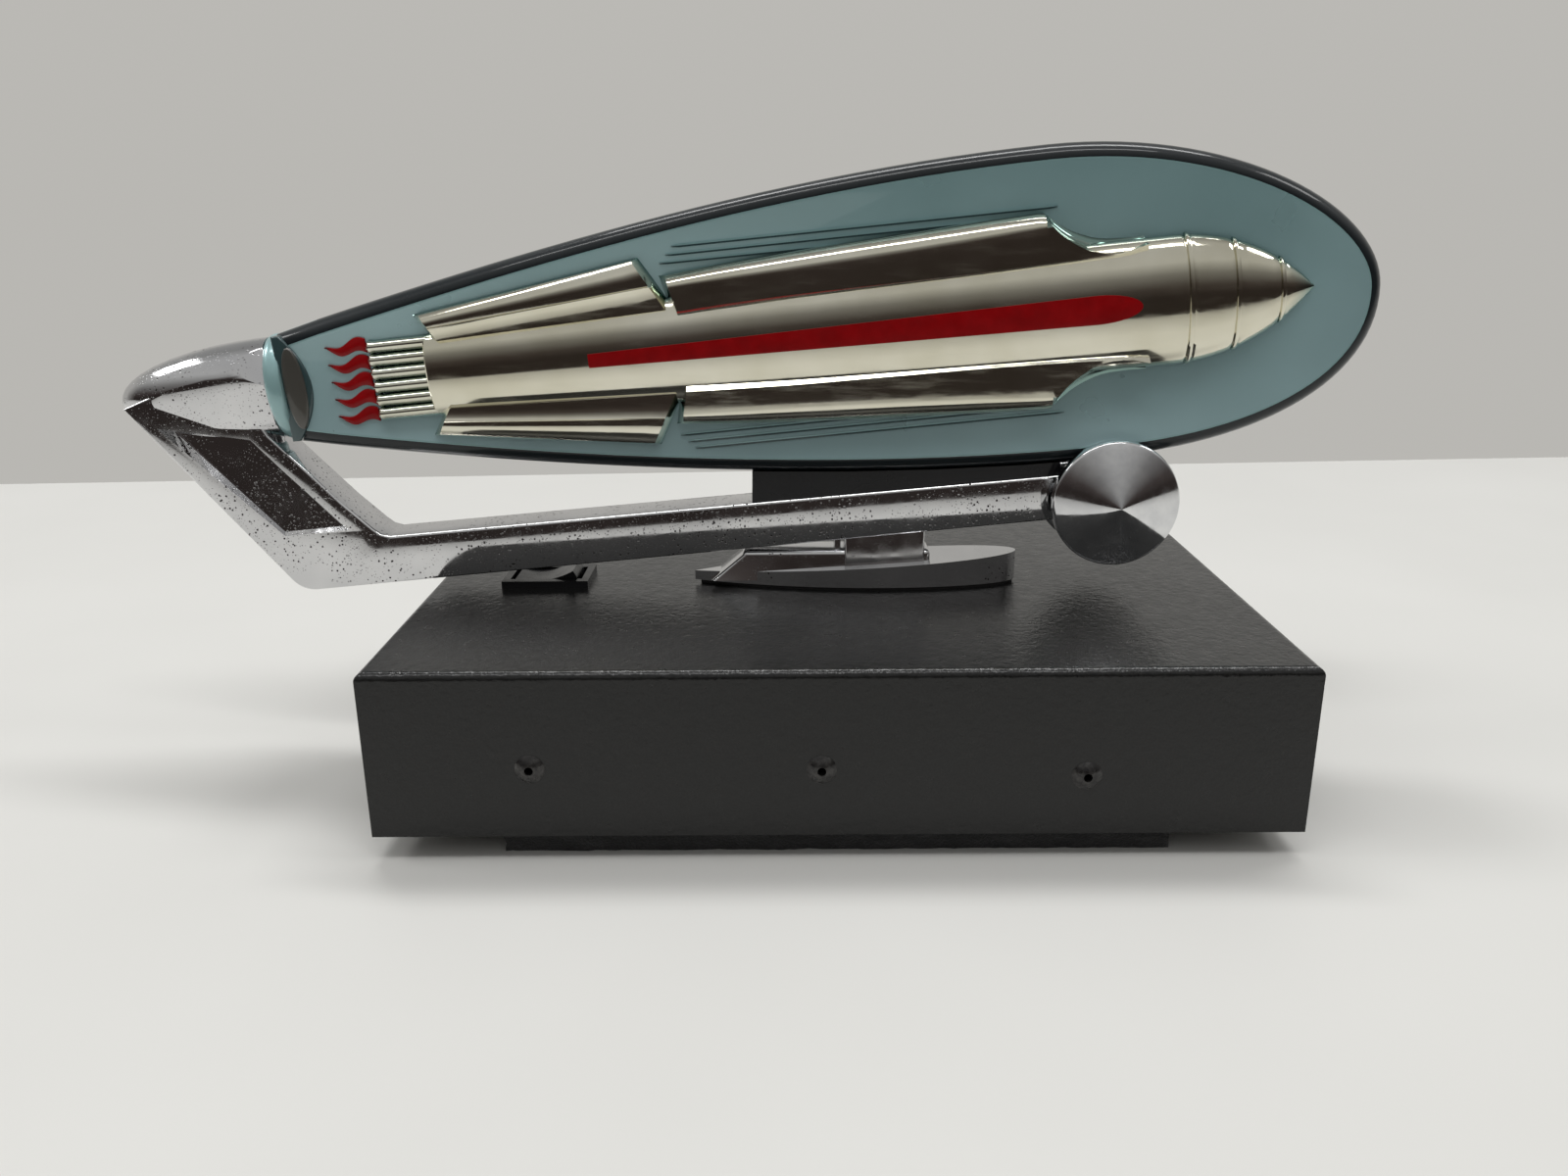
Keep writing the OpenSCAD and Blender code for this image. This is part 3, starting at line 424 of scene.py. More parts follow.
def named(name):
    piece = bpy.context.object
    piece.name = piece.data.name = name
    return piece


def extrude(x=0.0, y=0.0, z=0.0):
    bpy.ops.mesh.extrude_region_move(TRANSFORM_OT_translate={"value": (x, y, z)})


def resize(x, y, z, centre):
    bpy.ops.transform.resize(value=(x, y, z), center_override=centre)


def face_outwards():
    bpy.ops.mesh.select_all(action="SELECT")
    bpy.ops.mesh.normals_make_consistent(inside=False)


def select_where(piece, test, kind="faces"):
    """Selects only the faces, edges or vertices that pass the test."""
    mesh = bmesh.from_edit_mesh(piece.data)
    bpy.ops.mesh.select_all(action="DESELECT")
    for item in getattr(mesh, kind):
        if test(item):
            item.select_set(True)
    bmesh.update_edit_mesh(piece.data)


def cut(piece, place, normal):
    """Cuts away what lies on the normal's side of a plane."""
    with editing(piece):
        bpy.ops.mesh.bisect(plane_co=place, plane_no=normal, use_fill=True, clear_outer=True)


def combined(piece, tool, operation):
    """Works on the piece with a Boolean, and deletes the tool it was worked with."""
    choose(piece)
    step = piece.modifiers.new("combined", "BOOLEAN")
    step.operation, step.object, step.solver = operation, tool, "EXACT"
    bpy.ops.object.modifier_apply(modifier="combined")
    bpy.data.objects.remove(tool)


def outline_face(name, points, y):
    """A flat face with these (u, r) corners, made from a filled circle."""
    bpy.ops.mesh.primitive_circle_add(vertices=len(points), radius=10, fill_type="NGON")
    piece = named(name)
    for corner, (u, r) in zip(piece.data.vertices, points):
        corner.co = (u, y, r)
    return piece


def slab(name, points, y, depth, soften=0.0, segments=2):
    """An outline given a thickness, with its front edges rounded over."""
    piece = outline_face(name, points, y)
    with editing(piece):
        extrude(y=depth)
        if soften:
            select_where(piece, lambda e: all(abs(v.co.y - y - depth) < 1e-4 for v in e.verts),
                "edges")
            bpy.ops.mesh.bevel(offset=soften, segments=segments, affect="EDGES")
        face_outwards()
    return piece


def turned(name, stations, flat=1.0, sides=64, offset=(0, 0)):
    """A form along X drawn ring by ring, each (x, half height). flat squeezes it in Y."""
    x, radius = stations[0]
    bpy.ops.mesh.primitive_circle_add(vertices=sides, radius=1, fill_type="NGON",
        location=(x, 0, 0), rotation=(0, math.pi / 2, 0))
    piece = named(name)
    bpy.ops.object.transform_apply(location=True, rotation=True, scale=True)
    with editing(piece):
        resize(1, radius * flat, radius, (x, 0, 0))
        for (x0, r0), (x1, r1) in zip(stations, stations[1:]):
            extrude(x=x1 - x0)
            resize(1, r1 / r0, r1 / r0, (x1, 0, 0))
        bpy.ops.mesh.select_all(action="SELECT")
        bpy.ops.transform.translate(value=(0, offset[0], offset[1]))
        face_outwards()
    return piece


def set_down(piece, frame_matrix, body, slot, *finishes, smooth=35, replaces=()):
    """Leans the piece into the object's frame and leaves its place in its mesh."""
    piece.matrix_world = frame_matrix @ piece.matrix_world
    choose(piece)
    bpy.ops.object.transform_apply(location=True, rotation=True, scale=True)
    bpy.ops.object.shade_smooth_by_angle(angle=math.radians(smooth))
    if finishes:
        paint(piece, *finishes)
    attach(piece, body)
    if replaces:
        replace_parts(piece, *replaces)
    return piece


def joined(name, *pieces):
    choose(*pieces)
    bpy.ops.object.join()
    return named(name)


def mirrored(piece, axis):
    """A copy of a piece, mirrored along an axis."""
    copy = piece.copy()
    copy.data = piece.data.copy()
    bpy.context.scene.collection.objects.link(copy)
    copy.data.transform(Matrix.Scale(-1, 4, axis))
    copy.data.flip_normals()
    return copy


def other_side(piece, name, replaced=None):
    """A copy of a finished piece for the ornament's left side, in its own node's stead."""
    copy = mirrored(piece, (0, 1, 0))
    copy.name = copy.data.name = name
    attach(copy, "ornament")
    if replaced:
        del copy["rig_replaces"]
        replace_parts(copy, replaced)
    return copy


# %% [markdown]
# ## The fin
# Each half of the fin is a thick sheet with a teardrop outline and a rounded rim. The
# outline is a filled circle whose corners are moved onto four curves. It is extruded as a
# wall and then inset again and again, a little forward each time, which rolls the rim
# over. The last two insets are narrow: a bright line, then a small step down to the face.

# %% The fin's outline
def bezier(p, t):
    a, b, c, d = (1 - t) ** 3, 3 * (1 - t) ** 2 * t, 3 * (1 - t) * t * t, t ** 3
    return tuple(a * p[0][i] + b * p[1][i] + c * p[2][i] + d * p[3][i] for i in (0, 1))


def curve(p, n):
    return [bezier(p, i / n) for i in range(n)]


FIN_UPPER, FIN_LOWER, FIN_FRONT, TAIL_HALF = 37.4, 36.6, 134.6, 12.4
TOP_U, BOTTOM_U, NOSE_DROP = 58.0, 70.0, -1.6
rear, front = TOP_U - COLLAR, FIN_FRONT - TOP_U
low_front, low_rear = FIN_FRONT - BOTTOM_U, BOTTOM_U - COLLAR
rise, fall = FIN_UPPER - TAIL_HALF, FIN_LOWER - TAIL_HALF
fin_curve = (
    curve([(COLLAR, TAIL_HALF), (COLLAR + 0.32 * rear, TAIL_HALF + 0.52 * rise),
        (TOP_U - 0.34 * rear, FIN_UPPER), (TOP_U, FIN_UPPER)], 26)
    + curve([(TOP_U, FIN_UPPER), (TOP_U + 0.56 * front, FIN_UPPER),
        (FIN_FRONT, 0.44 * FIN_UPPER), (FIN_FRONT, NOSE_DROP)], 30)
    + curve([(FIN_FRONT, NOSE_DROP), (FIN_FRONT, -0.64 * FIN_LOWER),
        (FIN_FRONT - 0.4 * low_front, -FIN_LOWER), (BOTTOM_U, -FIN_LOWER)], 26)
    + curve([(BOTTOM_U, -FIN_LOWER), (BOTTOM_U - 0.35 * low_rear, -FIN_LOWER),
        (COLLAR + 0.3 * low_rear, -TAIL_HALF - 0.52 * fall), (COLLAR, -TAIL_HALF)], 26))
SHEET_END = -127.2
sheet_outline = [p for p in fin_curve if p[0] > SHEET_END + 3.6]
sheet_outline += [(SHEET_END, -13.0), (SHEET_END, 13.0)]
print("fin outline:", len(sheet_outline), "corners")

# %% The fin's halves
RIM, RIM_STEPS, WALL = 3.4, 6, 3.4
LINE = 0.38


def fin_half(name):
    piece = outline_face(name, sheet_outline, 0)
    with editing(piece):
        extrude(y=-WALL)
        for step in range(RIM_STEPS):
            a, b = (math.pi / 2 * k / RIM_STEPS for k in (step, step + 1))
            bpy.ops.mesh.inset(thickness=RIM * (math.cos(a) - math.cos(b)), depth=0)
            bpy.ops.transform.translate(
                value=(0, -(FACE_Y - WALL) * (math.sin(b) - math.sin(a)), 0))
        bpy.ops.mesh.inset(thickness=LINE, depth=0)
        bpy.ops.mesh.inset(thickness=LINE, depth=0)
        bpy.ops.transform.translate(value=(0, 0.12, 0))
        face_outwards()
    # Slot 1, the rolled rim, gets the near-black rim finish: a painted dark reflection.
    paint(piece, teal_face, rim_painted_dark, teal_light)
    for face in piece.data.polygons:
        depths = [piece.data.vertices[i].co.y for i in face.vertices]
        line = all(abs(y + FACE_Y) < 0.01 for y in depths)
        plain = all(y < -FACE_Y + 0.13 for y in depths)
        at_tail = face.center.x < -122
        face.material_index = 0 if at_tail else 2 if line else 0 if plain else 1
    return piece


fin_right = fin_half("fin_sheet_right")
set_down(fin_right, ON_AXIS, "ornament", "teal_acrylic", replaces=["fin_right"])
fin_left = other_side(fin_right, "fin_sheet_left", "fin_left")
print("fin halves:", [len(p.data.polygons) for p in (fin_right, fin_left)], "faces")

# %% [markdown]
# The tail of the fin is a clear oval neck. It is bored for the lamp, and the unlit hollow of that
# bore shows through it as a dark lens; neck and lens are painted dark teal, a painted shade. A
# rounded bead closes the neck against the chrome.
# Neck and bead are drawn ring by ring and squeezed to an oval; the lens and the end of the
# bore are thin slabs across the neck.

# %% The fin's neck, bore and bead
neck = turned("fin_neck", [(-127.6, 12.3), (-125, 12.0), (-122.6, 11.0), (-120.6, 9.0)],
    flat=0.66, sides=72)
# Neck and lens take the dark teal: painted shade for the unlit bore inside the clear neck.
set_down(neck, ON_AXIS, "ornament", "teal_acrylic", teal_painted_shade)
lens_edge = [(-125.6 + 5.4 * (1 - t * t), 12.6 * t) for t in [i / 9 - 1 for i in range(19)]]
lens = slab("neck_lens", lens_edge + [(-127.6, 12.6), (-127.6, -12.6)], 0, -8.0, 0.45, 3)
set_down(lens, ON_AXIS, "ornament", "teal_acrylic", teal_painted_shade)
bore_edge = [(-124.1 + 2.6 * math.cos(math.radians(10 * i)), 9.8 * math.sin(math.radians(10 * i)))
    for i in range(36)]
bore = slab("lamp_bore", bore_edge, 0, -8.55, 0.5, 3)
set_down(bore, ON_AXIS, "ornament", "teal_acrylic", bore_grey)
bead = turned("fin_bead", [(-130.9, 11.6), (-130.6, 12.3), (-130.0, 12.75), (-129.1, 12.9),
    (-128.2, 12.9), (-127.5, 12.7), (-127.0, 12.3), (-126.8, 11.7)], flat=0.783, sides=96)
set_down(bead, ON_AXIS, "ornament", "teal_acrylic", teal_light, smooth=60)

# %% [markdown]
# Three speed lines run forward above and below the rocket. Each is a pair of thin raised bars with
# square edges, laid on the face.

# %% Speed lines
lines = []
for side in (-1, 1):
    for i in range(3):
        start, end, r = -33.6 + 1.6 * i, (12, 44, 57)[i], side * (20.2 + 1.75 * i)
        # Each line is a light bar over a dark bar: a painted highlight and a painted shadow for the
        # lit and shaded walls of an engraved groove.
        for shift, half, finish in ((0.16, 0.16, teal_light), (-0.2, 0.2, teal_painted_shade)):
            line = slab("line", [(start, r + shift), (start + 2, r + shift - half),
                (end, r + shift - half), (end + 2, r + shift), (end, r + shift + half),
                (start + 2, r + shift + half)], SUNK_Y, -0.3 - half)
            paint(line, finish)
            lines.append(line)
speed_right = joined("speed_lines_right", *lines)
set_down(speed_right, ON_AXIS, "ornament", "teal_acrylic")
other_side(speed_right, "speed_lines_left")

# %% [markdown]
# ## The rocket
# The rocket's body is half of a squeezed round form with three thin rings round its nose.
# It is drawn ring by ring along its length, and the half inside the fin is cut away.

# %% The rocket's body
BODY_BACK, NOSE_START, NOSE_LENGTH = -91.0, 85.0, 33.0
BACK_HALF, FRONT_HALF, RELIEF = 9.6, 14.8, 6.0
ogive = (FRONT_HALF ** 2 + NOSE_LENGTH ** 2) / (2 * FRONT_HALF)


def body_half(u):
    if u < NOSE_START:
        share = (u - BODY_BACK) / (NOSE_START - BODY_BACK)
        return BACK_HALF + (FRONT_HALF - BACK_HALF) * math.sin(math.pi / 2 * share)
    return math.sqrt(max(0, ogive ** 2 - (u - NOSE_START) ** 2)) + FRONT_HALF - ogive


ring_places = [88.0, 99.0, 110.0]
stations = [(BODY_BACK - 0.3, BACK_HALF - 0.5), (BODY_BACK, BACK_HALF)]
stations += [(BODY_BACK + 8 * i, body_half(BODY_BACK + 8 * i)) for i in range(1, 22)]
nose = [NOSE_START + 1.5 * i for i in range(22)]
nose = [u for u in nose if all(abs(u - ring) > 1.3 for ring in ring_places)]
stations += [(u, body_half(u)) for u in nose if u < 117]
for ring in ring_places:
    stations += [(ring + x, body_half(ring + x) + rise) for x, rise in ((-1.1, 0), (-0.6, -0.35),
        (-0.45, 0.3), (-0.2, 0.45), (0.2, 0.45), (0.45, 0.3), (0.6, -0.35), (1.1, 0))]
stations = sorted(stations) + [(117.2, 0.75), (117.8, 0.3)]


def rocket_body(name, grow=0.0):
    piece = turned(name, [(u, half + grow) for u, half in stations], flat=RELIEF / FRONT_HALF,
        sides=96, offset=(-FACE_Y, 0))
    cut(piece, (0, SUNK_Y, 0), (0, 1, 0))
    return piece


body = rocket_body("rocket_body_right")
print("rocket body:", len(body.data.polygons), "faces")

# %% [markdown]
# The small fins are relief plates. Each is a grid whose points are moved to their place
# along the plate and across it, then extruded back and flattened against the fin's face.
# Across a front plate the surface rises at a slant from the body, runs flat and rolls over to
# the outer edge, and its front end is scooped out in a hollow quarter circle.

# %% Relief plates
def mix(a, b, share):
    return a + (b - a) * share


def along(points, u):
    """The height of a line of (u, value) points at u."""
    for (u0, v0), (u1, v1) in zip(points, points[1:]):
        if u <= u1:
            return mix(v0, v1, max(0.0, (u - u0) / (u1 - u0)))
    return points[-1][1]


def relief(name, columns, rows, place):
    """A grid of columns by rows whose points place(column, row) sets to (u, height, r)."""
    bpy.ops.mesh.primitive_grid_add(x_subdivisions=columns - 1, y_subdivisions=rows - 1, size=2)
    piece = named(name)
    for point in piece.data.vertices:
        i = round((point.co.x + 1) / 2 * (columns - 1))
        j = round((point.co.y + 1) / 2 * (rows - 1))
        u, height, r = place(i, j)
        point.co = (u, -FACE_Y - height, r)
    with editing(piece):
        extrude(y=1)
        resize(1, 0, 1, (0, SUNK_Y, 0))
        bpy.ops.mesh.select_all(action="SELECT")
        bpy.ops.mesh.remove_doubles(threshold=0.0005)
        face_outwards()
    return piece


front_inner = [(-31, 9.4), (-5, 10.3), (40, 10.9), (62, 11.6), (72, 12.1), (79, 13.6)]
front_lip = [(-34, 14.6), (-5, 15.6), (18, 16.6), (40, 17.9), (56.8, 19.4), (58.5, 17.6),
    (60.8, 15.8), (63, 14.3), (65.3, 13.2), (67.6, 12.5), (70, 12.15), (74.5, 12.3), (79, 13.75)]
front_outer = [(-34, 17.4), (-22, 18.6), (-4, 19.8), (9.5, 20.6), (28, 21.5), (41, 22.2),
    (55.5, 22.7), (58, 20.6), (60.3, 18.9), (62.2, 17.8), (64.2, 16.9), (67, 15.9), (70, 15.4),
    (74.5, 15.2), (79, 15.3)]
FRONT_HIGH = 4.6
front_columns = [-34.2, -33.2, -32.6, -31, -26, -20, -12, -4, 4, 12, 20, 28, 36, 44, 50, 54,
    55.6, 56.8, 58, 59.4, 60.8, 62.2, 63.8, 65.3, 66.6, 68, 70, 72, 74.5, 77, 78.6]


def front_plate(i, j):
    u = front_columns[i]
    inner, lip, outer = (along(line, u) for line in (front_inner, front_lip, front_outer))
    lean = 0.0 if i > 3 else 2.6
    start = min(1.0, i / 2)
    scoop = min(1.0, max(0.0, (u - 55.5) / 1.5))
    if j == 0:
        return u + lean * 0.9, 2.7 * start, inner - 2.3
    if j == 1:
        return u + lean * 0.8, FRONT_HIGH * start, inner
    if j <= 4:
        share = (j - 1) / 3
        height = FRONT_HIGH - 0.03 * share
        return u + lean * (0.8 - 0.5 * share), height * start, mix(inner, lip, share)
    share = (j - 4) / 8
    roll = math.cos(math.pi / 2 * share)
    hollow = 1 - math.sin(math.pi / 2 * share)
    round_r = mix(lip, outer, math.sin(math.pi / 2 * share))
    hollow_r = mix(lip, outer, 1 - math.cos(math.pi / 2 * share))
    return (u + lean * (0.3 - 0.3 * share), FRONT_HIGH * mix(roll, hollow, scoop) * start,
        mix(round_r, hollow_r, scoop))


upper_front = relief("front_plate_upper", len(front_columns), 13, front_plate)

rear_inner = [(-92, 7.4), (-31, 9.0)]
rear_outer = [(-93, 14.3), (-38.5, 22.0), (-31, 22.9)]
rear_columns = [0, 0.012, 0.03, 0.1, 0.2, 0.3, 0.4, 0.5, 0.6, 0.7, 0.8, 0.9, 0.97, 0.988, 1]


def rear_plate(i, j):
    across = (0, 0.06, 0.2, 0.33, 0.46, 0.475, 0.5, 0.6, 0.7, 0.8, 0.9, 0.965, 1)[j]
    height = (0, 3.3, 3.35, 3.5, 3.8, 3.9, 3.35, 3.45, 3.4, 3.1, 2.5, 1.8, 0)[j]
    share = rear_columns[i]
    left = mix(-88.8, -93.0, across)
    right_end = mix(-31.1, -38.5, across)
    u = mix(left, right_end, share)
    inner, outer = along(rear_inner, u), along(rear_outer, u)
    up = min(1.0, i / 2, (len(rear_columns) - 1 - i) / 2)
    return u, height * up, mix(inner, outer, across)


upper_rear = relief("rear_plate_upper", len(rear_columns), 13, rear_plate)
print("relief plates:", [len(p.data.polygons) for p in (upper_front, upper_rear)], "faces")

# %% [markdown]
# The lower plates are the upper ones mirrored. The exhaust is a row of round flutes: one
# is a small squeezed cylinder with its ends tapered, and the others are copies.

# %% Lower plates, flutes and the whole relief
FLUTES, EXHAUST_BACK, EXHAUST_HALF = 6, -105.0, 9.5
pitch = 2 * EXHAUST_HALF / FLUTES
flutes = []
for i in range(FLUTES):
    flute = turned("flute", [(EXHAUST_BACK, 1.25), (EXHAUST_BACK + 0.5, 1.62),
        (EXHAUST_BACK + 1.0, 1.68), (EXHAUST_BACK + 1.6, 1.5), (-98, 1.6),
        (BODY_BACK - 0.6, 1.62), (BODY_BACK + 0.5, 1.62)],
        flat=1.25, sides=32, offset=(-FACE_Y, (i - (FLUTES - 1) / 2) * pitch))
    cut(flute, (0, SUNK_Y, 0), (0, 1, 0))
    flutes.append(flute)
lower_front, lower_rear = (mirrored(plate, (0, 0, 1)) for plate in (upper_front, upper_rear))
relief_right = joined("rocket_relief_right", body, upper_front, upper_rear, lower_front,
    lower_rear, *flutes)
set_down(relief_right, ON_AXIS, "ornament", "warm_silver", warm_silver, smooth=32,
    replaces=["rocket_right"])
other_side(relief_right, "rocket_relief_left", "rocket_left")
print("rocket relief:", len(relief_right.data.polygons), "faces")

# %% [markdown]
# The red stripe follows the body's crest. A slab with the stripe's outline is cut to a
# slightly larger copy of the body, by a Boolean that keeps what the two share.

# %% The red stripe
stripe_outline = [(-52.5, -1.6), (-52.5, 1.6), (66, 3.3)]
stripe_outline += [(66 + 10.5 * math.sin(math.radians(a)), 3.3 * math.cos(math.radians(a)))
    for a in range(10, 91, 10)]
stripe_outline += [(u, -r) for u, r in reversed(stripe_outline[2:-1])]
stripe = slab("red_stripe_right", stripe_outline, -FACE_Y - 1, -20)
grown = rocket_body("grown_body", 0.9)
combined(stripe, grown, "INTERSECT")
set_down(stripe, ON_AXIS, "ornament", "red_enamel", red_enamel, replaces=["stripe_right"])
other_side(stripe, "red_stripe_left", "stripe_left")
print("stripe:", len(stripe.data.polygons), "faces")

# %% [markdown]
# Five flames trail from the exhaust. Each is a tongue that waves up and down as it
# narrows, so its outline is a wave with a shrinking half width on each side.

# %% Flames
FLAMES, FLAME_LENGTH, FLAME_PITCH = 5, 10.0, 4.1


def flame_outline(root, phase):
    upper, lower = [], []
    for i in range(19):
        share = i / 18
        middle = 0.75 * math.sin(math.radians(405 * share + phase))
        half = 1.62 * (1 - share ** 2.1) + 0.03
        u = EXHAUST_BACK - 0.3 - FLAME_LENGTH * share
        upper.append((u, root + middle + half))
        lower.append((u, root + middle - half))
    return upper + lower[::-1]


roots = [(i - FLAMES // 2) * FLAME_PITCH for i in range(FLAMES)]
flames = [slab("flame", flame_outline(root, 10), SUNK_Y, -0.75, 0.25) for root in roots]
flames_right = joined("flames_of_right_side", *flames)
set_down(flames_right, ON_AXIS, "ornament", "red_enamel", red_enamel, replaces=["flames_right"])
other_side(flames_right, "flames_of_left_side", "flames_left")

# %% [markdown]
# ## The chrome arm
# The arm is one casting: a pointed tail that caps the fin, a strut that leans back under
# it and a bar that runs forward. Strut and bar are one outline, extruded and softened
# along its edges, with a drafted panel sunk into each side of the strut.

# %% Strut and bar
HALF_BAR = 6.3
TAIL_LENGTH = 39.4
TIP = COLLAR - TAIL_LENGTH
toe, toe_radius = -134.2, 7.0
slope = math.atan2(AXIS_HEIGHT - 3, (TIP + 4.6) - toe)
bend_u = toe + toe_radius * math.tan((math.pi - slope) / 2)
arm_outline = [(TIP + 2.6, AXIS_HEIGHT - 1), (TIP + 12, AXIS_HEIGHT + 2), (COLLAR - 8, AXIS_HEIGHT),
    (COLLAR - 3, AXIS_HEIGHT - 10.8), (-119.5, 21.5), (-113.2, 14.4), (-111.6, 12.9),
    (-109.4, 12.05), (AXLE_U, 11), (AXLE_U, 0)]
bend = [1.5 * math.pi + (slope - math.pi) * i / 8 for i in range(9)]
arm_outline += [(bend_u + toe_radius * math.cos(a), toe_radius + toe_radius * math.sin(a))
    for a in bend]
arm = outline_face("arm", arm_outline, HALF_BAR)
with editing(arm):
    extrude(y=-2 * HALF_BAR)
    select_where(arm, lambda e: abs(e.verts[0].co.y - e.verts[1].co.y) < 1e-4, "edges")
    bpy.ops.mesh.bevel(offset=0.7, segments=3, affect="EDGES")
    face_outwards()

PANEL_SHALLOW, PANEL_DEEP = 1.0, 3.6
panel_outline = [(-161.0, 44.6), (-138.6, 39.6), (-118.4, 14.2), (-135.2, 14.2)]
for side in (-1, 1):
    panel = outline_face("panel", panel_outline, side * (HALF_BAR + 0.6))
    with editing(panel):
        extrude(y=-side * 1.6)
        resize(0.88, 1, 0.9, (-139, 0, 28))
        face_outwards()
    for corner in panel.data.vertices:
        if abs(corner.co.y) < HALF_BAR:
            depth = mix(PANEL_SHALLOW, PANEL_DEEP, (corner.co.z - 14) / 30)
            corner.co.y = side * (HALF_BAR - depth)
    combined(arm, panel, "DIFFERENCE")
print("arm:", len(arm.data.polygons), "faces")

# %% [markdown]
# The pointed tail is drawn ring by ring. A slanting cut down each side leaves the long
# flat that runs out towards the tip, and a second cut near the collar leaves its facet.

# %% Pointed tail
reach = 12.2
tail_angles = [math.radians(a) for a in (89.4, 87, 83, 78, 72, 65, 57, 48, 39, 30, 21, 12, 5, 0)]
tail_rings = [(COLLAR - TAIL_LENGTH * math.sin(a), max(0.25, reach * math.cos(a)))
    for a in tail_angles]
tail = turned("tail", tail_rings, flat=0.77, sides=96, offset=(0, AXIS_HEIGHT))
for side in (-1, 1):
    cut(tail, (COLLAR, side * 8.2, AXIS_HEIGHT - 3), (-0.075, side, -0.16))
    cut(tail, (COLLAR - 4.5, side * 8.3, AXIS_HEIGHT + 5), (0.2, side, 0.42))
with editing(tail):
    face_outwards()
boss = turned("boss", [(-7.9, 8.6), (7.9, 8.6)], sides=64)
boss.data.transform(Matrix.Rotation(math.pi / 2, 4, "Z"))
boss.data.transform(Matrix.Translation((AXLE_U, 0, AXLE_R)))
arm = joined("chrome_arm", arm, tail, boss)
set_down(arm, ON_BAR, "ornament", "cast_chrome", cast_chrome, smooth=30, replaces=["arm_casting"])

# %% [markdown]
# ## The cone faced discs
# Each disc is turned on a lathe: a narrow rolled rim and a shallow cone that comes to a
# sharp point. A clean cone mirrors the room in sectors that meet at its point.

# %% Discs
def disc(name, side, replaced):
    rings = [(0, 14.6), (0.25, 15.1), (0.8, 15.38), (3.0, 15.4), (3.4, 15.3), (3.65, 15.05),
        (3.78, 14.7), (4.1, 13.8), (8.72, 0.25), (8.78, 0.05)]
    piece = turned(name, rings, sides=128)
    piece.data.transform(Matrix.Rotation(math.pi / 2, 4, "Z"))
    piece.data.transform(Matrix.Translation((AXLE_U, 8.2, AXLE_R)))
    if side < 0:
        piece.data.transform(Matrix.Scale(-1, 4, (0, 1, 0)))
        piece.data.flip_normals()
    return set_down(piece, ON_BAR, "ornament", "mirror_chrome", turned_chrome, smooth=32,
        replaces=[replaced])


disc("cone_disc_left", 1, "disc_left")
disc("cone_disc_right", -1, "disc_right")

# %% [markdown]
# ## The foot
# The foot is a polished casting with a pointed tail and an oval front. Its wall rises
# from tail to front. Its top is a row of rings, each extruded and shrunk. On it stand a low
# pedestal, which leaves a slot under the bar, and the block the bar is screwed to.

# %% Foot
FOOT_BACK, FOOT_WIDE, FOOT_FRONT, FOOT_HALF = -34.4, 13.5, 47.6, 8.8
FLOOR_Z = BASE_TOP + 0.8
side_points = [(mix(FOOT_BACK, FOOT_WIDE, i / 14), FOOT_HALF * (1 - (1 - i / 14) ** 2))
    for i in range(1, 14)]
nose_points = [(FOOT_WIDE + (FOOT_FRONT - FOOT_WIDE) * math.cos(math.radians(90 - 7.5 * i)),
    FOOT_HALF * math.sin(math.radians(90 - 7.5 * i))) for i in range(25)]
foot_outline = [(FOOT_BACK, 0)] + side_points + nose_points
foot_outline += [(x, -y) for x, y in reversed(side_points)]
bpy.ops.mesh.primitive_circle_add(vertices=len(foot_outline), radius=10, fill_type="NGON")
foot = named("chrome_foot")
for corner, (x, y) in zip(foot.data.vertices, foot_outline):
    corner.co = (x, y, FLOOR_Z)
with editing(foot):
    extrude(z=1)
for corner in foot.data.vertices:
    if corner.co.z > FLOOR_Z + 0.5:
        corner.co.z = FLOOR_Z + mix(2.4, 7.4, (corner.co.x - FOOT_BACK) / (FOOT_FRONT - FOOT_BACK))
MIDDLE = (FOOT_BACK + FOOT_FRONT) / 2
length, width = FOOT_FRONT - FOOT_BACK, 2 * FOOT_HALF
with editing(foot):
    select_where(foot, lambda f: f.normal.z > 0.5)
    for inward, upward in ((0.12, 0.25), (0.35, 0.2), (1.2, 0.75), (0.9, 0.75), (0.5, 0.2),
            (0.5, -0.25), (0.35, -0.15)):
        extrude(z=upward)
        resize((length - 2.2 * inward) / length, (width - 2 * inward) / width, 1, (MIDDLE, 0, 0))
        length, width = length - 2.2 * inward, width - 2 * inward
    face_outwards()


def standing_block(name, x0, x1, half, top, soften):
    """A block on the foot between two places along it, its top edges rounded."""
    bpy.ops.mesh.primitive_cube_add(size=1)
    block = named(name)
    for corner in block.data.vertices:
        corner.co = (x1 if corner.co.x > 0 else x0, math.copysign(half, corner.co.y),
            top(x1 if corner.co.x > 0 else x0) if corner.co.z > 0 else FLOOR_Z + 1)
    with editing(block):
        select_where(block, lambda e: max(v.co.z for v in e.verts) > FLOOR_Z + 4
            and (e.verts[0].co.y == e.verts[1].co.y or e.verts[0].co.x == e.verts[1].co.x), "edges")
        bpy.ops.mesh.bevel(offset=soften, segments=3, affect="EDGES")
    return block


def bar_underside(x):
    return BASE_TOP + BAR_LIFT / math.cos(TILT) + x * math.tan(TILT)


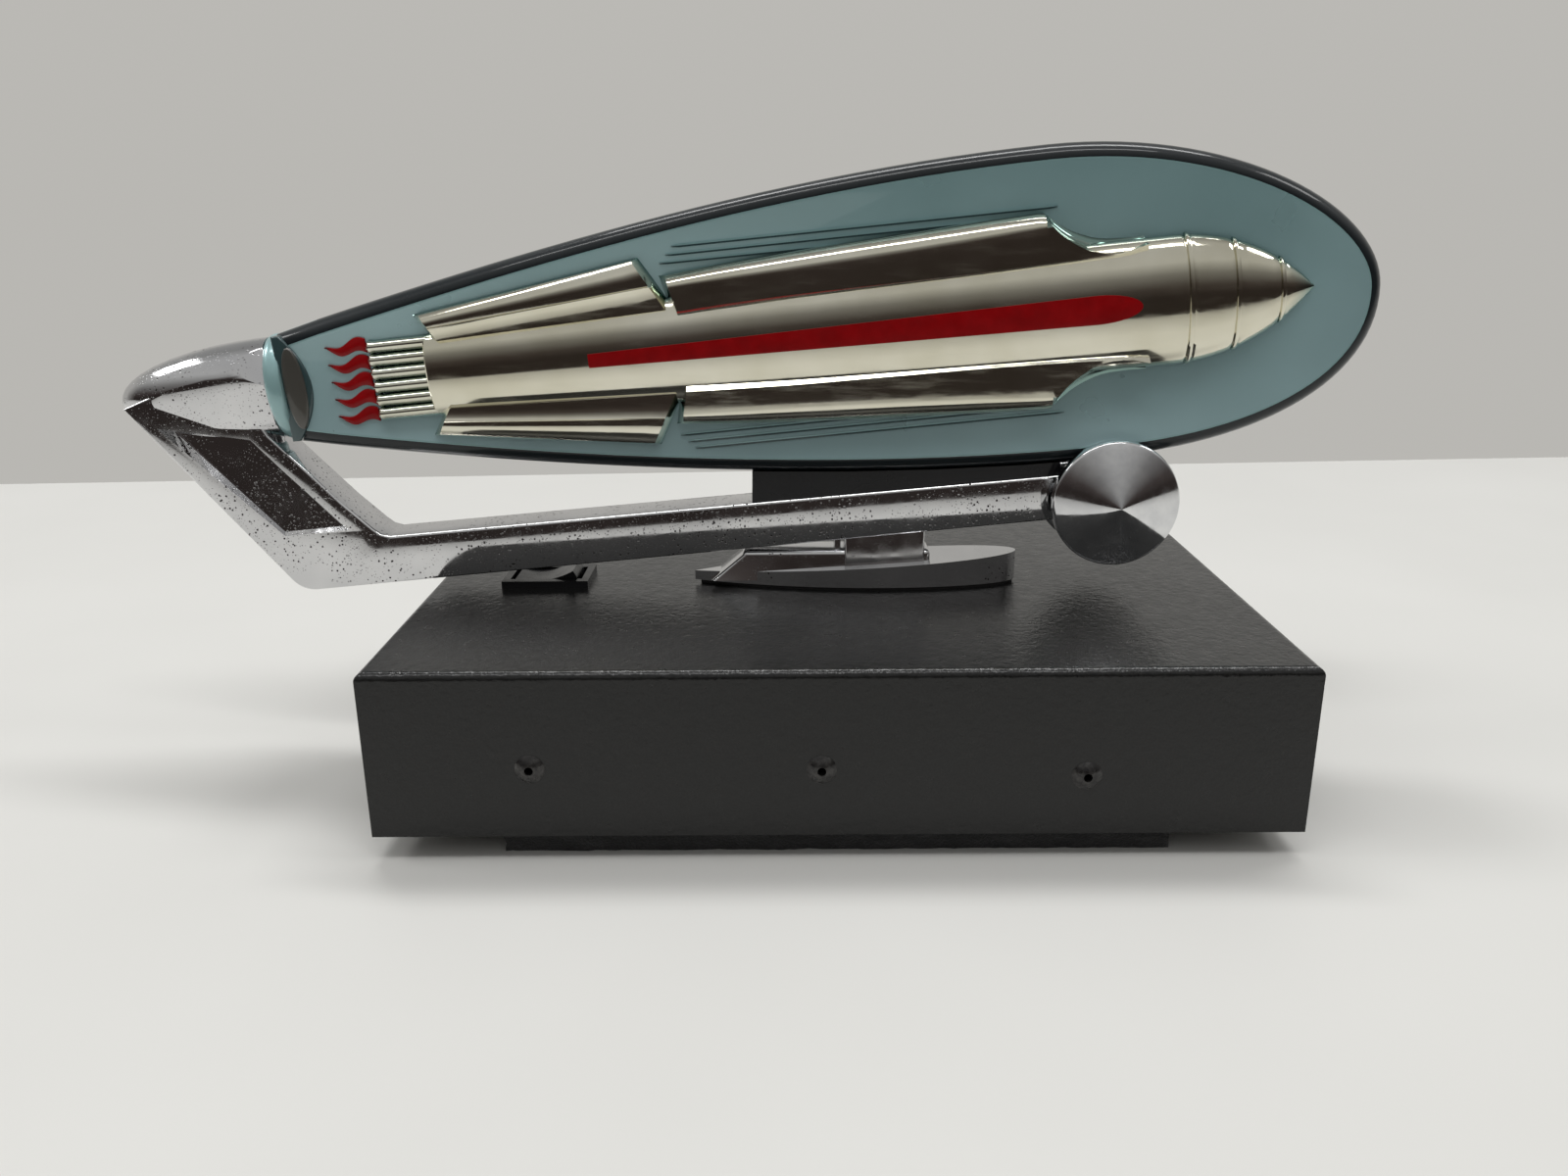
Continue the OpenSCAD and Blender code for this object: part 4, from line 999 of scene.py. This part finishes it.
block = standing_block("block", 3.8, 23.8, 5.4, lambda x: bar_underside(x) + 0.3, 0.5)
post = standing_block("post", 1.2, 2.8, 3.4, lambda x: bar_underside(x) - 0.4, 0.3)
pedestal = standing_block("pedestal", -22, 25.4, 4.9, lambda x: FLOOR_Z + 8.8, 1.2)
with editing(pedestal, "VERT"):
    select_where(pedestal, lambda v: v.co.z < FLOOR_Z + 5 and v.co.x < 0, "verts")
    bpy.ops.transform.translate(value=(-8, 0, 0))
foot = joined("chrome_foot", foot, block, post, pedestal)
set_down(foot, ON_BASE, "ornament", "cast_chrome", foot_chrome, smooth=40,
    replaces=["foot_casting"])
print("foot:", len(foot.data.polygons), "faces")

# %% [markdown]
# ## The felt pad
# The pad is thick felt cut with a knife, so its edge is ragged and hairy. A box is
# subdivided, and two Displace modifiers push its surface about: a coarse one for the
# uneven cut and a fine one for the fuzz.

# %% Felt pad
pad_low, pad_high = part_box("felt_pad")
size = (pad_high - pad_low) / MM
bpy.ops.mesh.primitive_cube_add(size=1, location=(0, 0, size.z / 2 - 0.2))
pad = named("felt_pad_cut")
bpy.ops.object.transform_apply(location=True, rotation=True, scale=True)
pad.data.transform(Matrix.Diagonal((size.x - 2.4, size.y - 2.4, 1, 1)))
with editing(pad, "EDGE"):
    resize(1, 1, size.z - 1.2, (0, 0, size.z / 2 - 0.2))
    bpy.ops.mesh.subdivide(number_cuts=7)
    select_where(pad, lambda e: e.verts[0].co.x != e.verts[1].co.x
        or e.verts[0].co.y != e.verts[1].co.y, "edges")
    bpy.ops.mesh.subdivide(number_cuts=11)
for name, grain, push in (("cut", 6.0, 1.0), ("fuzz", 1.1, 0.9)):
    cloud = bpy.data.textures.new(name, "CLOUDS")
    cloud.noise_scale = grain
    bend = pad.modifiers.new(name, "DISPLACE")
    bend.texture, bend.strength, bend.mid_level, bend.texture_coords = cloud, push, 0.6, "LOCAL"
    choose(pad)
    bpy.ops.object.modifier_apply(modifier=name)
with editing(pad, "VERT"):
    select_where(pad, lambda v: v.co.z < 0.9, "verts")
    resize(1, 1, 0, (0, 0, 0.0))
set_down(pad, ON_BASE, "ornament", "black_felt", felt, smooth=80, replaces=["felt_pad"])
print("felt pad:", len(pad.data.polygons), "faces")

# %% [markdown]
# ## The floor
# The floor is a large pale sheet whose far edge is just behind the object, where the wall begins.
# Towards the viewer it is painted darker, a painted shadow, so that the chrome has something dark
# to mirror.

# %% Floor
bpy.ops.object.select_all(action="DESELECT")
bpy.ops.mesh.primitive_plane_add(size=1)
floor = named("floor")
floor_corners = ((-2.2, -0.46), (2.2, -0.46), (-2.2, 0.242), (2.2, 0.442))
for corner, (x, y) in zip(floor.data.vertices, floor_corners):
    corner.co = (x, y, 0)
floor_finish = Finish("floor_white", Roughness=0.5)
white = floor_finish.mix(floor_finish.level(floor_finish.noise(180, 3.0), 0.3, 0.7),
    (0.655, 0.65, 0.625, 1), (0.69, 0.685, 0.66, 1))
near = floor_finish.node("ShaderNodeSeparateXYZ", {0: floor_finish.place}).outputs[1]
# Painted shadow: the floor goes dark towards the viewer, past y = -0.2 m.
floor_finish.color(floor_finish.mix(floor_finish.level(near, -0.42, -0.2, 0.4, 0.0), white,
    (0.10, 0.095, 0.09, 1)))
paint(floor, floor_finish)

# %% [markdown]
# ## The light
# Behind the object the world is a pale wall. The room in front, which the chrome mirrors,
# is dark low down and brighter higher up. Two strips and two panels light the object.

# %% Room light
world = bpy.data.worlds.new("room")
bpy.context.scene.world = world
world.use_nodes = True
tree = world.node_tree
background = tree.nodes["Background"]
look = tree.nodes.new("ShaderNodeTexCoord").outputs["Generated"]
direction = tree.nodes.new("ShaderNodeSeparateXYZ")
tree.links.new(look, direction.inputs[0])


def ramp(source, *stops):
    node = tree.nodes.new("ShaderNodeValToRGB")
    tree.links.new(source, node.inputs[0])
    edge = node.color_ramp.elements
    while len(edge) < len(stops):
        edge.new(0.5)
    for element, (place, color) in zip(edge, stops):
        element.position, element.color = place, (*color, 1)
    return node.outputs[0]


back_wall = ramp(direction.outputs[2], (0.0, (0.485, 0.475, 0.45)), (0.35, (0.51, 0.50, 0.475)),
    (0.6, (0.36, 0.36, 0.35)), (1.0, (0.22, 0.22, 0.22)))
near_room = ramp(direction.outputs[2], (0.0, (0.03, 0.024, 0.022)), (0.12, (0.06, 0.05, 0.047)),
    (0.3, (0.20, 0.195, 0.19)), (0.5, (0.50, 0.50, 0.49)), (1.0, (0.45, 0.45, 0.45)))
facing = tree.nodes.new("ShaderNodeMapRange")
tree.links.new(direction.outputs[1], facing.inputs[0])
facing.inputs[1].default_value, facing.inputs[2].default_value = -0.25, 0.15
blend = tree.nodes.new("ShaderNodeMix")
blend.data_type = "RGBA"
tree.links.new(facing.outputs[0], blend.inputs["Factor"])
tree.links.new(near_room, blend.inputs[6])
tree.links.new(back_wall, blend.inputs[7])
tree.links.new(blend.outputs[2], background.inputs[0])
background.inputs[1].default_value = 1.0


def lamp(name, place, target, width, depth, power):
    light = bpy.data.lights.new(name, "AREA")
    light.shape, light.size, light.size_y, light.energy = "RECTANGLE", width, depth, power
    holder = bpy.data.objects.new(name, light)
    bpy.context.scene.collection.objects.link(holder)
    holder.location = place
    holder.rotation_euler = (Vector(target) - Vector(place)).to_track_quat("-Z", "Y").to_euler()


lamp("back_strip", (0.1, 0.42, 1.5), (0, 0, 0), 1.5, 0.22, 12.5)
lamp("front_strip", (-0.1, -0.55, 1.5), (0, 0, 0), 1.5, 0.16, 6.5)
lamp("left_panel", (-1.3, 0.0, 1.1), (0, 0, 0.05), 0.5, 0.35, 4)
lamp("right_panel", (1.2, -0.2, 1.3), (0, 0, 0.05), 0.4, 0.35, 2.6)
print("four lamps light the room")
